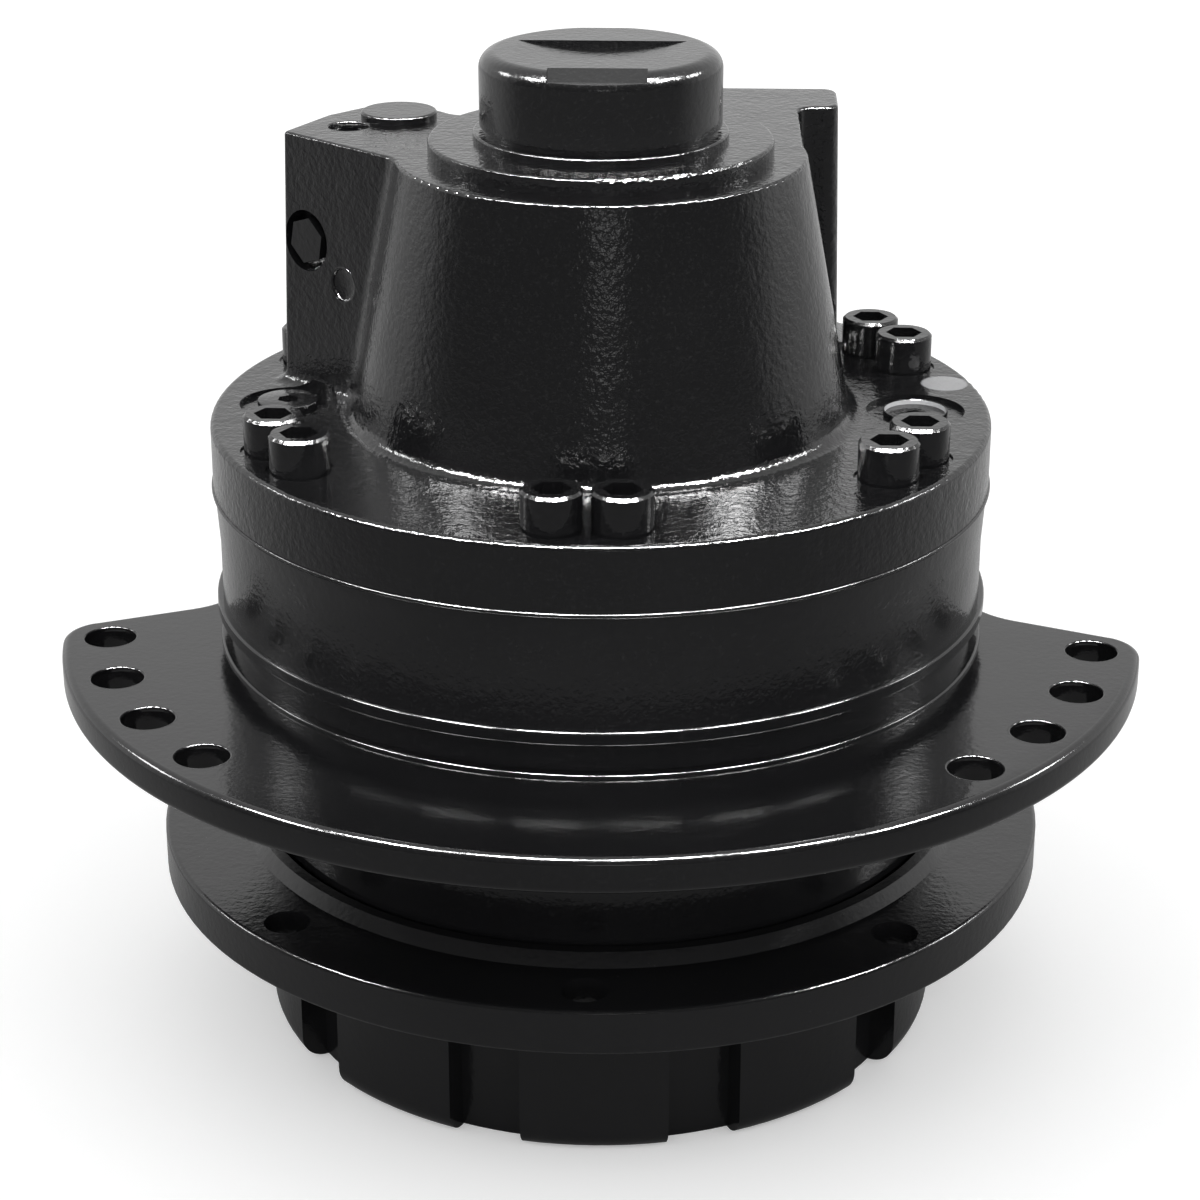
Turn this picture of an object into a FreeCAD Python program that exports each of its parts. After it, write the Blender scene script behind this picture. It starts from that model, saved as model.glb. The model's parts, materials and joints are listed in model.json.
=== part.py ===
"""Final drive motor: a slow radial piston motor that carries a track sprocket.

The shaft axis is Z and points from the sprocket hub up to the end cap. The
origin is the centre of the face on the output flange that the sprocket seats
on. The front is -Y. Lengths are in millimetres and angles in degrees.

The valve cover, the cam ring and the bearing support are bolted together and
form the case. The output hub turns in two tapered roller bearings inside it
and carries the cylinder block, whose rollers run on the cam ring. A brake
above the distributor holds the hub through the brake shaft.
"""
import FreeCAD, Part
import math
import os
import re
import Sketcher
from FreeCAD import Placement, Rotation, Vector

doc = FreeCAD.newDocument("FinalDriveMotor")

# Driving sizes: name, value, what it measures
SIZES = (
    # Output hub
    ("flange_radius", "140.8", "outside of the output flange"),
    ("flange_thick", "14.5", "thickness of the output flange"),
    ("flange_round", "1.5", "rounding of the output flange's edges"),
    ("shield_radius", "116", "outside of the seal shield ring at its foot"),
    ("shield_high", "4", "height of the seal shield ring"),
    ("shield_slope", "2.8", "how far the shield ring leans in"),
    ("shield_wall", "3.4", "thickness of the shield ring at its top"),
    ("sprocket_circle", "128.5", "radius of the sprocket screw circle"),
    ("sprocket_hole", "7", "radius of a tapped sprocket screw hole"),
    ("hub_depth", "54", "how far the hub reaches below the sprocket seat"),
    ("hub_core", "100", "radius of the hub between its lobes"),
    ("lobe_radius", "108.3", "radius of the hub lobes, the sprocket's pilot"),
    ("lobe_angle", "24", "angle that one lobe spans"),
    ("lobe_turn", "1", "angle from the front to the first lobe's middle"),
    ("lobe_round", "8", "rounding at the bottom of a lobe"),
    ("cavity_radius", "66", "mouth of the hollow in the hub"),
    ("cavity_depth", "39.5", "depth of the hollow in the hub"),
    ("cavity_draft", "4", "how much narrower the hollow is at its floor"),
    # Shaft and bearings
    ("journal_radius", "84", "seal journal"),
    ("seal_width", "10", "width of the shaft seal"),
    ("low_bore", "62", "bore of the lower bearing"),
    ("low_outside", "92", "outside of the lower bearing"),
    ("low_width", "24", "width of the lower bearing"),
    ("low_roller", "8", "mean radius of a lower bearing roller"),
    ("high_bore", "46", "bore of the upper bearing"),
    ("high_outside", "76", "outside of the upper bearing"),
    ("high_width", "22", "width of the upper bearing"),
    ("high_roller", "7", "mean radius of an upper bearing roller"),
    ("taper_angle", "15", "angle of the roller axes to the shaft"),
    ("bearing_shoulder", "4", "wall between the two bearing cups"),
    ("shoulder_bore", "70", "bore of that wall"),
    ("shaft_waist", "58", "radius of the shaft between the bearings"),
    ("nut_radius", "58", "outside of the bearing nut"),
    ("nut_width", "9.5", "width of the bearing nut"),
    ("nut_slot", "8", "width of a spanner slot in the nut"),
    ("spline_radius", "30", "shaft in the cylinder block"),
    ("socket_radius", "13", "bore of the shaft for the brake shaft"),
    ("socket_depth", "38", "depth of that bore"),
    # Bearing support with its ears
    ("case_gap", "1.5", "gap between the output flange and the case"),
    ("support_high", "76.1", "height of the bearing support"),
    ("support_radius", "108", "outside of the bearing support below the ears"),
    ("seal_housing", "98", "bore of the bearing support for the shaft seal"),
    ("ear_radius", "169.5", "outside of the mounting ears"),
    ("ear_thick", "11", "thickness of the mounting ears"),
    ("ear_seat", "61.4", "height of the ear face above the foot of the support"),
    ("ear_edge", "2.6", "rounding of the ears' rim"),
    ("ear_back", "57.1", "distance from the axis to the ears' back edges"),
    ("ear_back_angle", "24.2", "slope of the ears' back edges"),
    ("ear_corner", "13", "corner radius of the ears"),
    ("ear_fillet", "24", "fillet between an ear's back edge and the case"),
    ("ear_circle", "154.7", "radius of the ear hole circle"),
    ("ear_hole", "8.5", "radius of an ear hole"),
    ("ear_hole_pitch", "12.04", "angle from one ear hole to the next"),
    ("ear_hole_centre", "63.7", "angle of an ear's row of holes from the front"),
    ("pilot_radius", "120", "pilot above the ears"),
    ("pilot_high", "1.2", "height of the pilot above the ear face"),
    ("groove_radius", "116.8", "bottom of the groove above the pilot"),
    ("rim_radius", "120.6", "outside of the upper rim of the support"),
    ("rim_thick", "4.4", "thickness of that rim"),
    # Cam ring
    ("cam_high", "36.1", "height of the cam ring"),
    ("cam_radius", "118.8", "outside of the cam ring at its foot"),
    ("cam_flare", "1.1", "how far the cam ring flares out to the cover"),
    ("cam_round", "0.9", "rounding of the cam ring's upper edge"),
    ("valley_reach", "97", "largest radius of the cam"),
    ("valley_radius", "50", "radius of a cam valley"),
    ("peak_radius", "20", "radius of a cam peak"),
    # Cylinder block, pistons and rollers
    ("block_radius", "78", "outside of the cylinder block"),
    ("block_high", "44", "height of the cylinder block"),
    ("block_gap", "0.6", "gap below and around the cylinder block"),
    ("bore_radius", "15", "radius of a cylinder bore"),
    ("bore_floor", "44", "distance from the axis to a bore's floor"),
    ("bore_fit", "0.05", "gap between a piston and its bore"),
    ("piston_long", "30", "length of a piston"),
    ("roller_radius", "10.5", "radius of a cam roller"),
    ("roller_long", "20.6", "length of a cam roller"),
    ("roller_rest", "75", "distance from the axis to a roller at rest"),
    ("roller_fit", "0.05", "gap between a roller and its piston"),
    ("saddle_wrap", "2", "how far a saddle reaches past its roller's axis"),
    ("first_piston", "7.5", "angle of the first piston from +X"),
    ("passage_circle", "52", "radius of the circle of oil passages"),
    ("passage_radius", "4.5", "radius of an oil passage"),
    # Distributor
    ("port_gap", "0.3", "gap between the cylinder block and the distributor"),
    ("distributor_radius", "62", "outside of the distributor"),
    ("distributor_high", "27", "height of the distributor"),
    ("distributor_bore", "25", "bore of the distributor"),
    ("distributor_fit", "0.1", "gap between the distributor and the cover"),
    ("gallery_depth", "4", "depth of the oil grooves round the distributor"),
    ("gallery_width", "5", "width of the oil grooves"),
    ("push_spring", "3", "height of the distributor's spring"),
    ("partition", "5", "wall between the distributor and the brake"),
    ("partition_gap", "3", "gap between that wall and the brake shaft"),
    # Brake
    ("brake_bore", "51", "bore of the cover for the brake"),
    ("disc_thick", "2.2", "thickness of one brake disc"),
    ("steel_inside", "30", "bore of a steel brake disc"),
    ("lining_outside", "48", "outside of a lined brake disc"),
    ("disc_gap", "0.02", "gap between brake discs"),
    ("brake_hub", "24", "outside of the brake shaft in its discs"),
    ("brake_piston_high", "15", "height of the brake piston"),
    ("brake_piston_bore", "26", "bore of the brake piston"),
    ("brake_spring_thick", "3", "thickness of the brake spring"),
    # Valve cover
    ("cover_radius", "120.3", "outside of the valve cover"),
    ("cover_thick", "19.8", "thickness of the cover's flange"),
    ("cover_round", "1.8", "rounding of the cover flange's top edge"),
    ("tower_foot", "77", "foot of the cover's tower"),
    ("tower_head", "62", "head of the cover's tower"),
    ("tower_high", "80.2", "height of the tower above the flange"),
    ("tower_fillet", "4.5", "fillet at the tower's foot"),
    ("boss_radius", "52", "raised boss on the tower"),
    ("boss_high", "4.9", "height of that boss"),
    ("collar_radius", "38.4", "collar that the end cap seats on"),
    ("collar_high", "2.4", "height of that collar"),
    ("cap_bore", "31", "bore of the cover under the end cap"),
    ("cover_roof", "8.5", "thickness of the cover above the brake"),
    # Screws
    ("screw_circle", "105.2", "radius of the cover screw circle"),
    ("screw_spread", "5.39", "angle of a screw from the middle of its pair"),
    ("screw_radius", "6", "radius of a cover screw"),
    ("screw_hole_gap", "0.7", "gap round a screw in its hole"),
    ("thread_gap", "0.1", "gap between a thread and its hole"),
    ("screw_head", "9", "radius of a screw head"),
    ("screw_head_high", "12", "height of a screw head"),
    ("screw_chamfer", "0.8", "chamfer of a screw head"),
    ("hexagon", "10", "width of the hexagon socket across its flats"),
    ("hexagon_depth", "6", "depth of the hexagon socket"),
    ("screw_grip", "24", "how far a screw reaches into the bearing support"),
    ("seat_radius", "10.2", "radius of the spot face under a screw head"),
    ("seat_depth", "0.6", "depth of the spot face"),
    ("seat_relief", "15", "height of the room for a head beside the port block"),
    # Port block, as points on the top face
    ("arm_tip_x", "98.9", "tip of the control arm, to the left"),
    ("arm_tip_y", "23.4", "tip of the control arm, to the back"),
    ("arm_front_x", "60.1", "inner end of the arm's front face, to the left"),
    ("arm_front_y", "10.5", "inner end of the arm's front face, to the front"),
    ("arm_back_x", "87.7", "back corner of the arm, to the left"),
    ("arm_back_y", "45.8", "back corner of the arm, to the back"),
    ("arm_rear_x", "77.2", "rear corner of the arm, to the left"),
    ("arm_rear_y", "57.2", "rear corner of the arm, to the back"),
    ("arm_end_x", "60", "back end of the arm, to the left"),
    ("arm_end_y", "60", "back end of the arm, to the back"),
    ("notch_x", "46", "notch behind the arm, to the left"),
    ("notch_y", "46", "notch behind the arm, to the back"),
    ("port_left", "38", "left side of the port block"),
    ("port_left_y", "52", "front end of that side"),
    ("port_back", "88.4", "back face of the port block"),
    ("port_right", "73.4", "right side of the port block"),
    ("port_right_y", "61.8", "front end of that side"),
    ("port_neck_x", "60.5", "narrow part of the block behind the tower, to the right"),
    ("port_neck_y", "61.5", "back end of that part"),
    ("port_root_x", "61.2", "front end of that part at the tower, across"),
    ("port_root_y", "6", "front end of that part at the tower, back"),
    ("block_draft", "1.3", "draft of the port block's sides"),
    ("block_corner", "5", "corner radius of the port block"),
    ("tip_corner", "2", "corner radius of the arm's tip"),
    ("arm_fillet", "10", "fillet between the arm's front face and the tower"),
    ("block_edge", "1.2", "rounding of the port block's top edge"),
    # Ports in the back face
    ("main_port", "13.2", "radius of a main port"),
    ("main_port_depth", "26", "depth of a main port"),
    ("main_port_high", "46", "height of the main ports above the flange"),
    ("main_port_left", "-12", "place of the left main port across"),
    ("main_port_right", "46", "place of the right main port across"),
    ("small_port", "7.2", "radius of the drain and brake ports"),
    ("small_port_depth", "15", "depth of those ports"),
    ("small_port_high", "24", "height of those ports above the flange"),
    ("small_port_left", "2", "place of the drain port across"),
    ("small_port_right", "32", "place of the brake port across"),
    # Plugs
    ("top_cap_x", "64.9", "round cap on the arm, to the left"),
    ("top_cap_y", "42.8", "round cap on the arm, to the back"),
    ("top_cap_radius", "11.9", "radius of the round cap"),
    ("top_cap_high", "2.4", "height of the round cap"),
    ("top_cap_stem", "7.5", "radius of the cap's stem"),
    ("top_cap_reach", "12", "length of the cap's stem"),
    ("top_plug_x", "79.4", "socket plug on the arm, to the left"),
    ("top_plug_y", "30.7", "socket plug on the arm, to the back"),
    ("top_plug_radius", "6.8", "radius of that plug"),
    ("top_plug_sink", "1.3", "how deep that plug sits"),
    ("top_plug_reach", "10", "depth of that plug"),
    ("side_plug_low", "32.8", "side plug's depth below the block's top"),
    ("side_plug_in", "9.8", "side plug's distance from the arm's tip"),
    ("side_plug_radius", "9.6", "radius of the recess round the side plug"),
    ("side_plug_hexagon", "13", "width of the side plug across its flats"),
    ("side_plug_depth", "7", "depth of the recess round the side plug"),
    ("side_plug_thread", "7.5", "radius of the side plug's thread"),
    ("side_plug_reach", "5", "length of the side plug's thread"),
    ("spool_bore", "6", "radius of the speed spool's bore"),
    ("spool_fit", "0.05", "gap between the spool and its bore"),
    ("spool_long", "14", "length of the speed spool"),
    ("spool_spring", "9", "length of the spool's spring"),
    ("small_plug_low", "43.7", "small plug's depth below the block's top"),
    ("small_plug_in", "26.5", "small plug's distance from the arm's tip"),
    ("small_plug_radius", "5.4", "radius of the small plug"),
    ("small_plug_reach", "8", "length of the small plug"),
    ("small_plug_sink", "1.4", "how deep the small plug sits"),
    ("bleed_across", "97.2", "distance from the axis to a bleed plug"),
    ("bleed_seat", "15.2", "radius of the spot face round a bleed plug"),
    ("bleed_sink", "1.5", "depth of that spot face"),
    ("bleed_radius", "9.5", "radius of a bleed plug's head"),
    ("bleed_high", "2.8", "height of a bleed plug's head"),
    ("bleed_stem", "6", "radius of a bleed plug's stem"),
    ("bleed_reach", "12", "length of a bleed plug's stem"),
    ("bleed_hexagon", "6", "width of a bleed plug's socket across its flats"),
    # End cap
    ("cap_radius", "36.4", "radius of the end cap"),
    ("cap_high", "23.8", "height of the end cap above its collar"),
    ("cap_round", "5", "rounding of the end cap's top"),
    ("cap_groove", "1.2", "depth of the groove at the cap's foot"),
    ("cap_groove_high", "2", "height of that groove"),
    ("cap_thread", "10", "length of the cap's thread"),
    ("cap_wall", "7", "wall of the cap's thread"),
    ("cap_roof", "9", "thickness of the cap's top"),
    ("cap_flat", "31", "distance from the axis to the flat at the back"),
    ("cap_flat_high", "4.5", "height of that flat"),
    ("cap_notch", "25.5", "distance from the axis to the notch at the front"),
    ("cap_notch_wide", "29", "width of that notch"),
    ("cap_notch_deep", "2.7", "depth of that notch"),
    ("coin_radius", "76", "radius of the coin slot's cutter"),
    ("coin_sink", "4.4", "depth of the coin slot"),
    ("coin_width", "25", "width of the coin slot"),
    # Seals
    ("seal_circle", "115", "radius of the case seals"),
    ("seal_section", "2.4", "width of a case seal"),
    ("seal_groove", "2", "depth of a case seal's groove"),
    ("cap_seal_section", "1.6", "section of the end cap's seal"),
    ("cap_seal_wall", "0.8", "wall outside the end cap's seal"),
)

SCREW_PAIRS = 6
CAM_LOBES = 6
PISTONS = 8
HUB_LOBES = 10
SPROCKET_HOLES = 8
EAR_HOLES = 4
LOW_ROLLERS = 24
HIGH_ROLLERS = 22
NUT_SLOTS = 4
LINED_DISCS = 6
GALLERIES = 3
SPRING_TURNS = 4
FRONT = -90

sheet = doc.addObject("Spreadsheet::Sheet", "Sizes")
for row, (alias, value, note) in enumerate(SIZES, start=1):
    sheet.set(f"A{row}", note)
    sheet.set(f"B{row}", value)
    sheet.setAlias(f"B{row}", alias)
doc.recompute()

ALIASES = {alias for alias, _, _ in SIZES}

# Heights on the shaft axis, as expressions in the driving sizes
SUPPORT_FOOT = "(flange_thick + case_gap)"
BEARING_FOOT = f"({SUPPORT_FOOT} + seal_width)"
SHOULDER_FOOT = f"({BEARING_FOOT} + low_width)"
SHOULDER_HEAD = f"({SHOULDER_FOOT} + bearing_shoulder)"
NUT_FOOT = f"({SHOULDER_HEAD} + high_width)"
EAR_FACE = f"({SUPPORT_FOOT} + ear_seat)"
CAM_FOOT = f"({SUPPORT_FOOT} + support_high)"
CAM_MIDDLE = f"({CAM_FOOT} + cam_high / 2)"
BLOCK_FOOT = f"({CAM_MIDDLE} - block_high / 2)"
BLOCK_HEAD = f"({CAM_MIDDLE} + block_high / 2)"
COVER_FOOT = f"({CAM_FOOT} + cam_high)"
COVER_FACE = f"({COVER_FOOT} + cover_thick)"
TOWER_TOP = f"({COVER_FACE} + tower_high)"
BOSS_TOP = f"({TOWER_TOP} + boss_high)"
CAP_FOOT = f"({BOSS_TOP} + collar_high)"
CAP_TOP = f"({CAP_FOOT} + cap_high)"
BRAKE_ROOF = f"({TOWER_TOP} - cover_roof)"
DISTRIBUTOR_FOOT = f"({BLOCK_HEAD} + port_gap)"
DISTRIBUTOR_HEAD = f"({DISTRIBUTOR_FOOT} + distributor_high)"
PARTITION_FOOT = f"({DISTRIBUTOR_HEAD} + push_spring)"
BRAKE_FLOOR = f"({PARTITION_FOOT} + partition)"
DISC_PITCH = "(disc_thick + disc_gap)"
STACK_HEAD = f"({BRAKE_FLOOR} + {2 * LINED_DISCS + 1} * {DISC_PITCH})"
PISTON_HEAD = f"({STACK_HEAD} + brake_piston_high)"


def sized(expression):
    """The expression with each size's name pointed at the sheet."""
    def point(match):
        word = match.group(0)
        return f"Sizes.{word}" if word in ALIASES else word
    return re.sub(r"[a-z][a-z0-9_]*", point, str(expression))


def number(expression):
    """The value of an expression in the driving sizes."""
    value = sheet.evalExpression(sized(expression))
    return float(getattr(value, "Value", value))


def bind(thing, **expressions):
    """Tie properties of an object to expressions in the driving sizes."""
    for name, expression in expressions.items():
        thing.setExpression(name.replace("__", "."), sized(expression))


def new_body(label, several=False):
    """An empty body; several allows it to hold more than one solid."""
    body = doc.addObject("PartDesign::Body", label)
    body.Label = label
    body.AllowCompound = several
    return body


def origin_part(body, role):
    """The plane or axis of a body's own origin that has this role."""
    return next(part for part in body.Origin.OriginFeatures if part.Role == role)


def attach(body, thing, role, x="0", y="0", z="0", turn=None):
    """Seat a feature on an origin plane, moved by x, y and z in that plane's axes."""
    thing.AttachmentSupport = [(origin_part(body, role), "")]
    thing.MapMode = "FlatFace"
    thing.AttachmentOffset = Placement(Vector(), turn or Rotation())
    for axis, expression in zip("xyz", (x, y, z)):
        if expression != "0":
            thing.setExpression(f"AttachmentOffset.Base.{axis}", sized(expression))


def fix(sketch, kind, geometry, end, expression):
    """Hold one coordinate of a point of a sketch at an expression."""
    value = number(expression)
    index = sketch.addConstraint(
        Sketcher.Constraint(kind, -1, 1, geometry, end, value)
    )
    sketch.setExpression(f"Constraints[{index}]", sized(expression))


def outline(body, name, points, role="XZ_Plane", lift="0"):
    """A closed outline. A point is (u, v), or (u, v, radius) where the stretch
    that leads to it is an arc, which turns left if the radius is positive."""
    sketch = body.newObject("Sketcher::SketchObject", name)
    attach(body, sketch, role, z=lift)
    places = [Vector(number(point[0]), number(point[1]), 0) for point in points]
    count = len(points)
    stretches = []
    for index in range(count):
        start, end = places[index - 1], places[index]
        if len(points[index]) == 2:
            geometry = sketch.addGeometry(Part.LineSegment(start, end), False)
            stretches.append((geometry, 1, 2))
            continue
        turn = points[index][2]
        left = not str(turn).startswith("-")
        radius = abs(number(turn))
        chord = end - start
        side = Vector(-chord.y, chord.x, 0).normalize() * (1 if left else -1)
        reach = math.sqrt(max(radius**2 - (chord.Length / 2) ** 2, 0))
        centre = (start + end) * 0.5 + side * reach
        first, last = (start, end) if left else (end, start)
        angles = [math.atan2(spot.y - centre.y, spot.x - centre.x) for spot in (first, last)]
        arc = Part.ArcOfCircle(Part.Circle(centre, Vector(0, 0, 1), radius), *angles)
        geometry = sketch.addGeometry(arc, False)
        stretches.append((geometry, 1, 2) if left else (geometry, 2, 1))
        held = sketch.addConstraint(Sketcher.Constraint("Radius", geometry, radius))
        sketch.setExpression(f"Constraints[{held}]", sized(str(turn).lstrip("-")))
    for index, point in enumerate(points):
        geometry, _, end = stretches[index]
        following, start, _ = stretches[(index + 1) % count]
        sketch.addConstraint(Sketcher.Constraint("Coincident", geometry, end, following, start))
        fix(sketch, "DistanceX", geometry, end, point[0])
        fix(sketch, "DistanceY", geometry, end, point[1])
    return sketch


def corner(u, v, radius, before, after):
    """Two points that round a square corner; before and after are the
    directions of travel into and out of it, such as "+v" and "-u"."""
    def moved(direction, sign):
        text = f"{'+' if (direction[0] == '+') == (sign > 0) else '-'} {radius}"
        return (f"{u} {text}", v) if direction[1] == "u" else (u, f"{v} {text}")
    across = {"+u": (1, 0), "-u": (-1, 0), "+v": (0, 1), "-v": (0, -1)}
    a, b = across[before], across[after]
    left = a[0] * b[1] - a[1] * b[0] > 0
    return [moved(before, -1), (*moved(after, 1), radius if left else f"-{radius}")]


def revolve(body, name, points, angle=None, cut=False):
    """Turn an outline of radius and height about the shaft axis."""
    kind = "PartDesign::Groove" if cut else "PartDesign::Revolution"
    turned = body.newObject(kind, name)
    sketch = outline(body, name + "Outline", points)
    turned.Profile = (sketch, [""])
    turned.ReferenceAxis = (sketch, ["V_Axis"])
    turned.Angle = 360
    if angle:
        turned.Midplane = True
        bind(turned, Angle=angle)
    sketch.Visibility = False
    body.Tip = turned
    doc.recompute()
    return turned


def extrude(body, name, points, foot, height, cut=False, taper=None, down=False):
    """Raise an outline of x and y from a height, or cut it away upwards, or
    let a raised one grow down."""
    kind = "PartDesign::Pocket" if cut else "PartDesign::Pad"
    raised = body.newObject(kind, name)
    sketch = outline(body, name + "Outline", points, "XY_Plane", foot)
    raised.Profile = (sketch, [""])
    bind(raised, Length=height)
    raised.Reversed = cut or down
    if taper:
        bind(raised, TaperAngle=taper)
    body.Tip = raised
    doc.recompute()
    return raised


def cylinder(body, name, radius, height, x="0", y="0", z="0", turn=None, cut=False):
    """Add or cut a cylinder whose foot is at x, y and z."""
    kind = "PartDesign::SubtractiveCylinder" if cut else "PartDesign::AdditiveCylinder"
    rod = body.newObject(kind, name)
    attach(body, rod, "XY_Plane", x, y, z, turn)
    bind(rod, Radius=radius, Height=height)
    body.Tip = rod
    doc.recompute()
    return rod


def prism(body, name, across, height, x="0", y="0", z="0", turn=None, cut=False):
    """Add or cut a hexagon prism, given its width across flats."""
    kind = "PartDesign::SubtractivePrism" if cut else "PartDesign::AdditivePrism"
    hexagon = body.newObject(kind, name)
    attach(body, hexagon, "XY_Plane", x, y, z, turn)
    hexagon.Polygon = 6
    bind(hexagon, Circumradius=f"{across} / sqrt(3)", Height=height)
    body.Tip = hexagon
    doc.recompute()
    return hexagon


def repeat(body, name, features, count):
    """Repeat features evenly round the shaft axis."""
    ring = body.newObject("PartDesign::PolarPattern", name)
    ring.Originals = features
    ring.Axis = (origin_part(body, "Z_Axis"), [""])
    ring.Angle = 360
    ring.Occurrences = count
    body.Tip = ring
    doc.recompute()
    return ring


def dress(body, name, kind, radius, test):
    """Round or chamfer every edge of a body that passes a test."""
    base = body.Tip
    chosen = [
        f"Edge{index}" for index, edge in enumerate(base.Shape.Edges, start=1) if test(edge)
    ]
    if not chosen:
        raise RuntimeError(f"{body.Label}: no edge for {name}")
    dressed = body.newObject(f"PartDesign::{kind}", name)
    dressed.Base = (base, chosen)
    bind(dressed, **{"Radius" if kind == "Fillet" else "Size": radius})
    body.Tip = dressed
    doc.recompute()
    return dressed


def rim(radius, height):
    """A test for circular edges about the shaft axis at a radius and a height."""
    wide, high = number(radius), number(height)
    def test(edge):
        spots = [vertex.Point for vertex in edge.Vertexes]
        middle = edge.valueAt((edge.FirstParameter + edge.LastParameter) / 2)
        return all(
            abs(spot.z - high) < 0.01 and abs(math.hypot(spot.x, spot.y) - wide) < 0.01
            for spot in [*spots, middle]
        )
    return test


def pile(body, name, feature, pitch, count):
    """Repeat a feature evenly up the shaft axis."""
    column = body.newObject("PartDesign::LinearPattern", name)
    column.Originals = [feature]
    column.Direction = (origin_part(body, "Z_Axis"), [""])
    column.Occurrences = count
    bind(column, Length=f"{pitch} * {count - 1}")
    body.Tip = column
    doc.recompute()
    return column


def upright(*places):
    """A test for edges that rise or drop from one of these (x, y) places."""
    spots = [
        place if isinstance(place[0], float) else (number(place[0]), number(place[1]))
        for place in places
    ]
    def test(edge):
        ends = [vertex.Point for vertex in edge.Vertexes]
        if len(ends) < 2 or abs(ends[0].z - ends[1].z) < 1:
            return False
        return any(math.hypot(end.x - x, end.y - y) < 0.05 for end in ends for x, y in spots)
    return test


def ring(label, points):
    """A body that is one turned outline."""
    body = new_body(label)
    revolve(body, label + "Turned", points)
    return body


def around(radius, angle):
    """The x and y expressions of a point on a circle about the shaft axis."""
    return f"{radius} * cos({angle})", f"{radius} * sin({angle})"


def output_hub():
    """Flange, lobed sprocket hub and shaft, forged in one piece."""
    body = new_body("output_hub")
    flange_low = corner("flange_radius", "0", "flange_round", "+u", "+v")
    flange_high = corner("flange_radius", "flange_thick", "flange_round", "+v", "-u")
    shield_top = "shield_radius - shield_slope"
    revolve(body, "Forging", [
        ("0", "cavity_depth - hub_depth"),
        ("cavity_radius - cavity_draft", "cavity_depth - hub_depth"),
        ("cavity_radius", "-hub_depth"),
        *corner("hub_core", "-hub_depth", "1", "+u", "+v"),
        ("hub_core", "0"),
        *flange_low,
        *flange_high,
        ("shield_radius", "flange_thick"),
        (shield_top, "flange_thick + shield_high"),
        (f"{shield_top} - shield_wall", "flange_thick + shield_high"),
        (f"{shield_top} - shield_wall", "flange_thick"),
        ("journal_radius", "flange_thick"),
        ("journal_radius", BEARING_FOOT),
        ("low_bore", BEARING_FOOT),
        ("low_bore", SHOULDER_FOOT),
        ("shaft_waist", SHOULDER_FOOT),
        ("shaft_waist", f"{SHOULDER_HEAD} - 2"),
        ("high_bore", f"{SHOULDER_HEAD} - 2"),
        ("high_bore", BLOCK_FOOT),
        ("spline_radius", BLOCK_FOOT),
        ("spline_radius", BLOCK_HEAD),
        ("socket_radius", BLOCK_HEAD),
        ("socket_radius", f"{BLOCK_HEAD} - socket_depth"),
        ("0", f"{BLOCK_HEAD} - socket_depth"),
    ])
    turn = FRONT + number("lobe_turn")
    lobe = revolve(body, "Lobe", [
        ("hub_core - 3", "-hub_depth"),
        *corner("lobe_radius", "-hub_depth", "lobe_round", "+u", "+v"),
        ("lobe_radius", "1"),
        ("hub_core - 3", "1"),
    ], angle="lobe_angle")
    lobe.Profile[0].AttachmentOffset = Placement(Vector(), Rotation(Vector(0, 1, 0), turn))
    repeat(body, "Lobes", [lobe], HUB_LOBES)
    x, y = around("sprocket_circle", FRONT)
    hole = cylinder(body, "SprocketHole", "sprocket_hole", "flange_thick + 2", x, y, "-1", cut=True)
    repeat(body, "SprocketHoles", [hole], SPROCKET_HOLES)
    return body


def bearing(name, foot, width, bore, outside, roller, count, widens_down):
    """Cone, cup and rollers of a tapered roller bearing. The rollers and both
    tracks point at one place on the shaft axis, so the rollers roll truly."""
    middle = f"({foot} + {width} / 2)"
    mean = f"(({bore} + {outside}) / 2)"
    away = f"({mean} / tan(taper_angle))"
    slant = f"({mean} / sin(taper_angle))"
    half = f"atan({roller} / {slant})"
    apex = f"({middle} + {away})" if widens_down else f"({middle} - {away})"

    def track(height, side):
        reach = f"({apex} - ({height}))" if widens_down else f"(({height}) - {apex})"
        return f"{reach} * tan(taper_angle * 1 deg {side} {half})"

    head = f"{foot} + {width}"
    ring(name + "_cone", [
        (bore, foot),
        (track(foot, "-"), foot),
        (track(head, "-"), head),
        (bore, head),
    ])
    ring(name + "_cup", [
        (track(foot, "+"), foot),
        (outside, foot),
        (outside, head),
        (track(head, "+"), head),
    ])
    body = new_body(name + "_rollers", several=True)
    cone = body.newObject("PartDesign::AdditiveCone", "Roller")
    lean = number("taper_angle")
    turn = Rotation(Vector(0, 1, 0), 180 - lean if widens_down else lean)
    length = f"({width} - 4)"
    near = f"({slant} - {length} / 2)"
    rise = "-" if widens_down else "+"
    attach(body, cone, "XY_Plane", f"{near} * sin(taper_angle)", "0",
           f"{apex} {rise} {near} * cos(taper_angle)", turn)
    slim = "(1 - 0.03 / " + roller + ")"
    bind(cone, Radius1=f"{near} * {roller} / {slant} * {slim}",
         Radius2=f"({near} + {length}) * {roller} / {slant} * {slim}", Height=length)
    doc.recompute()
    repeat(body, "Rollers", [cone], count)


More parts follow.
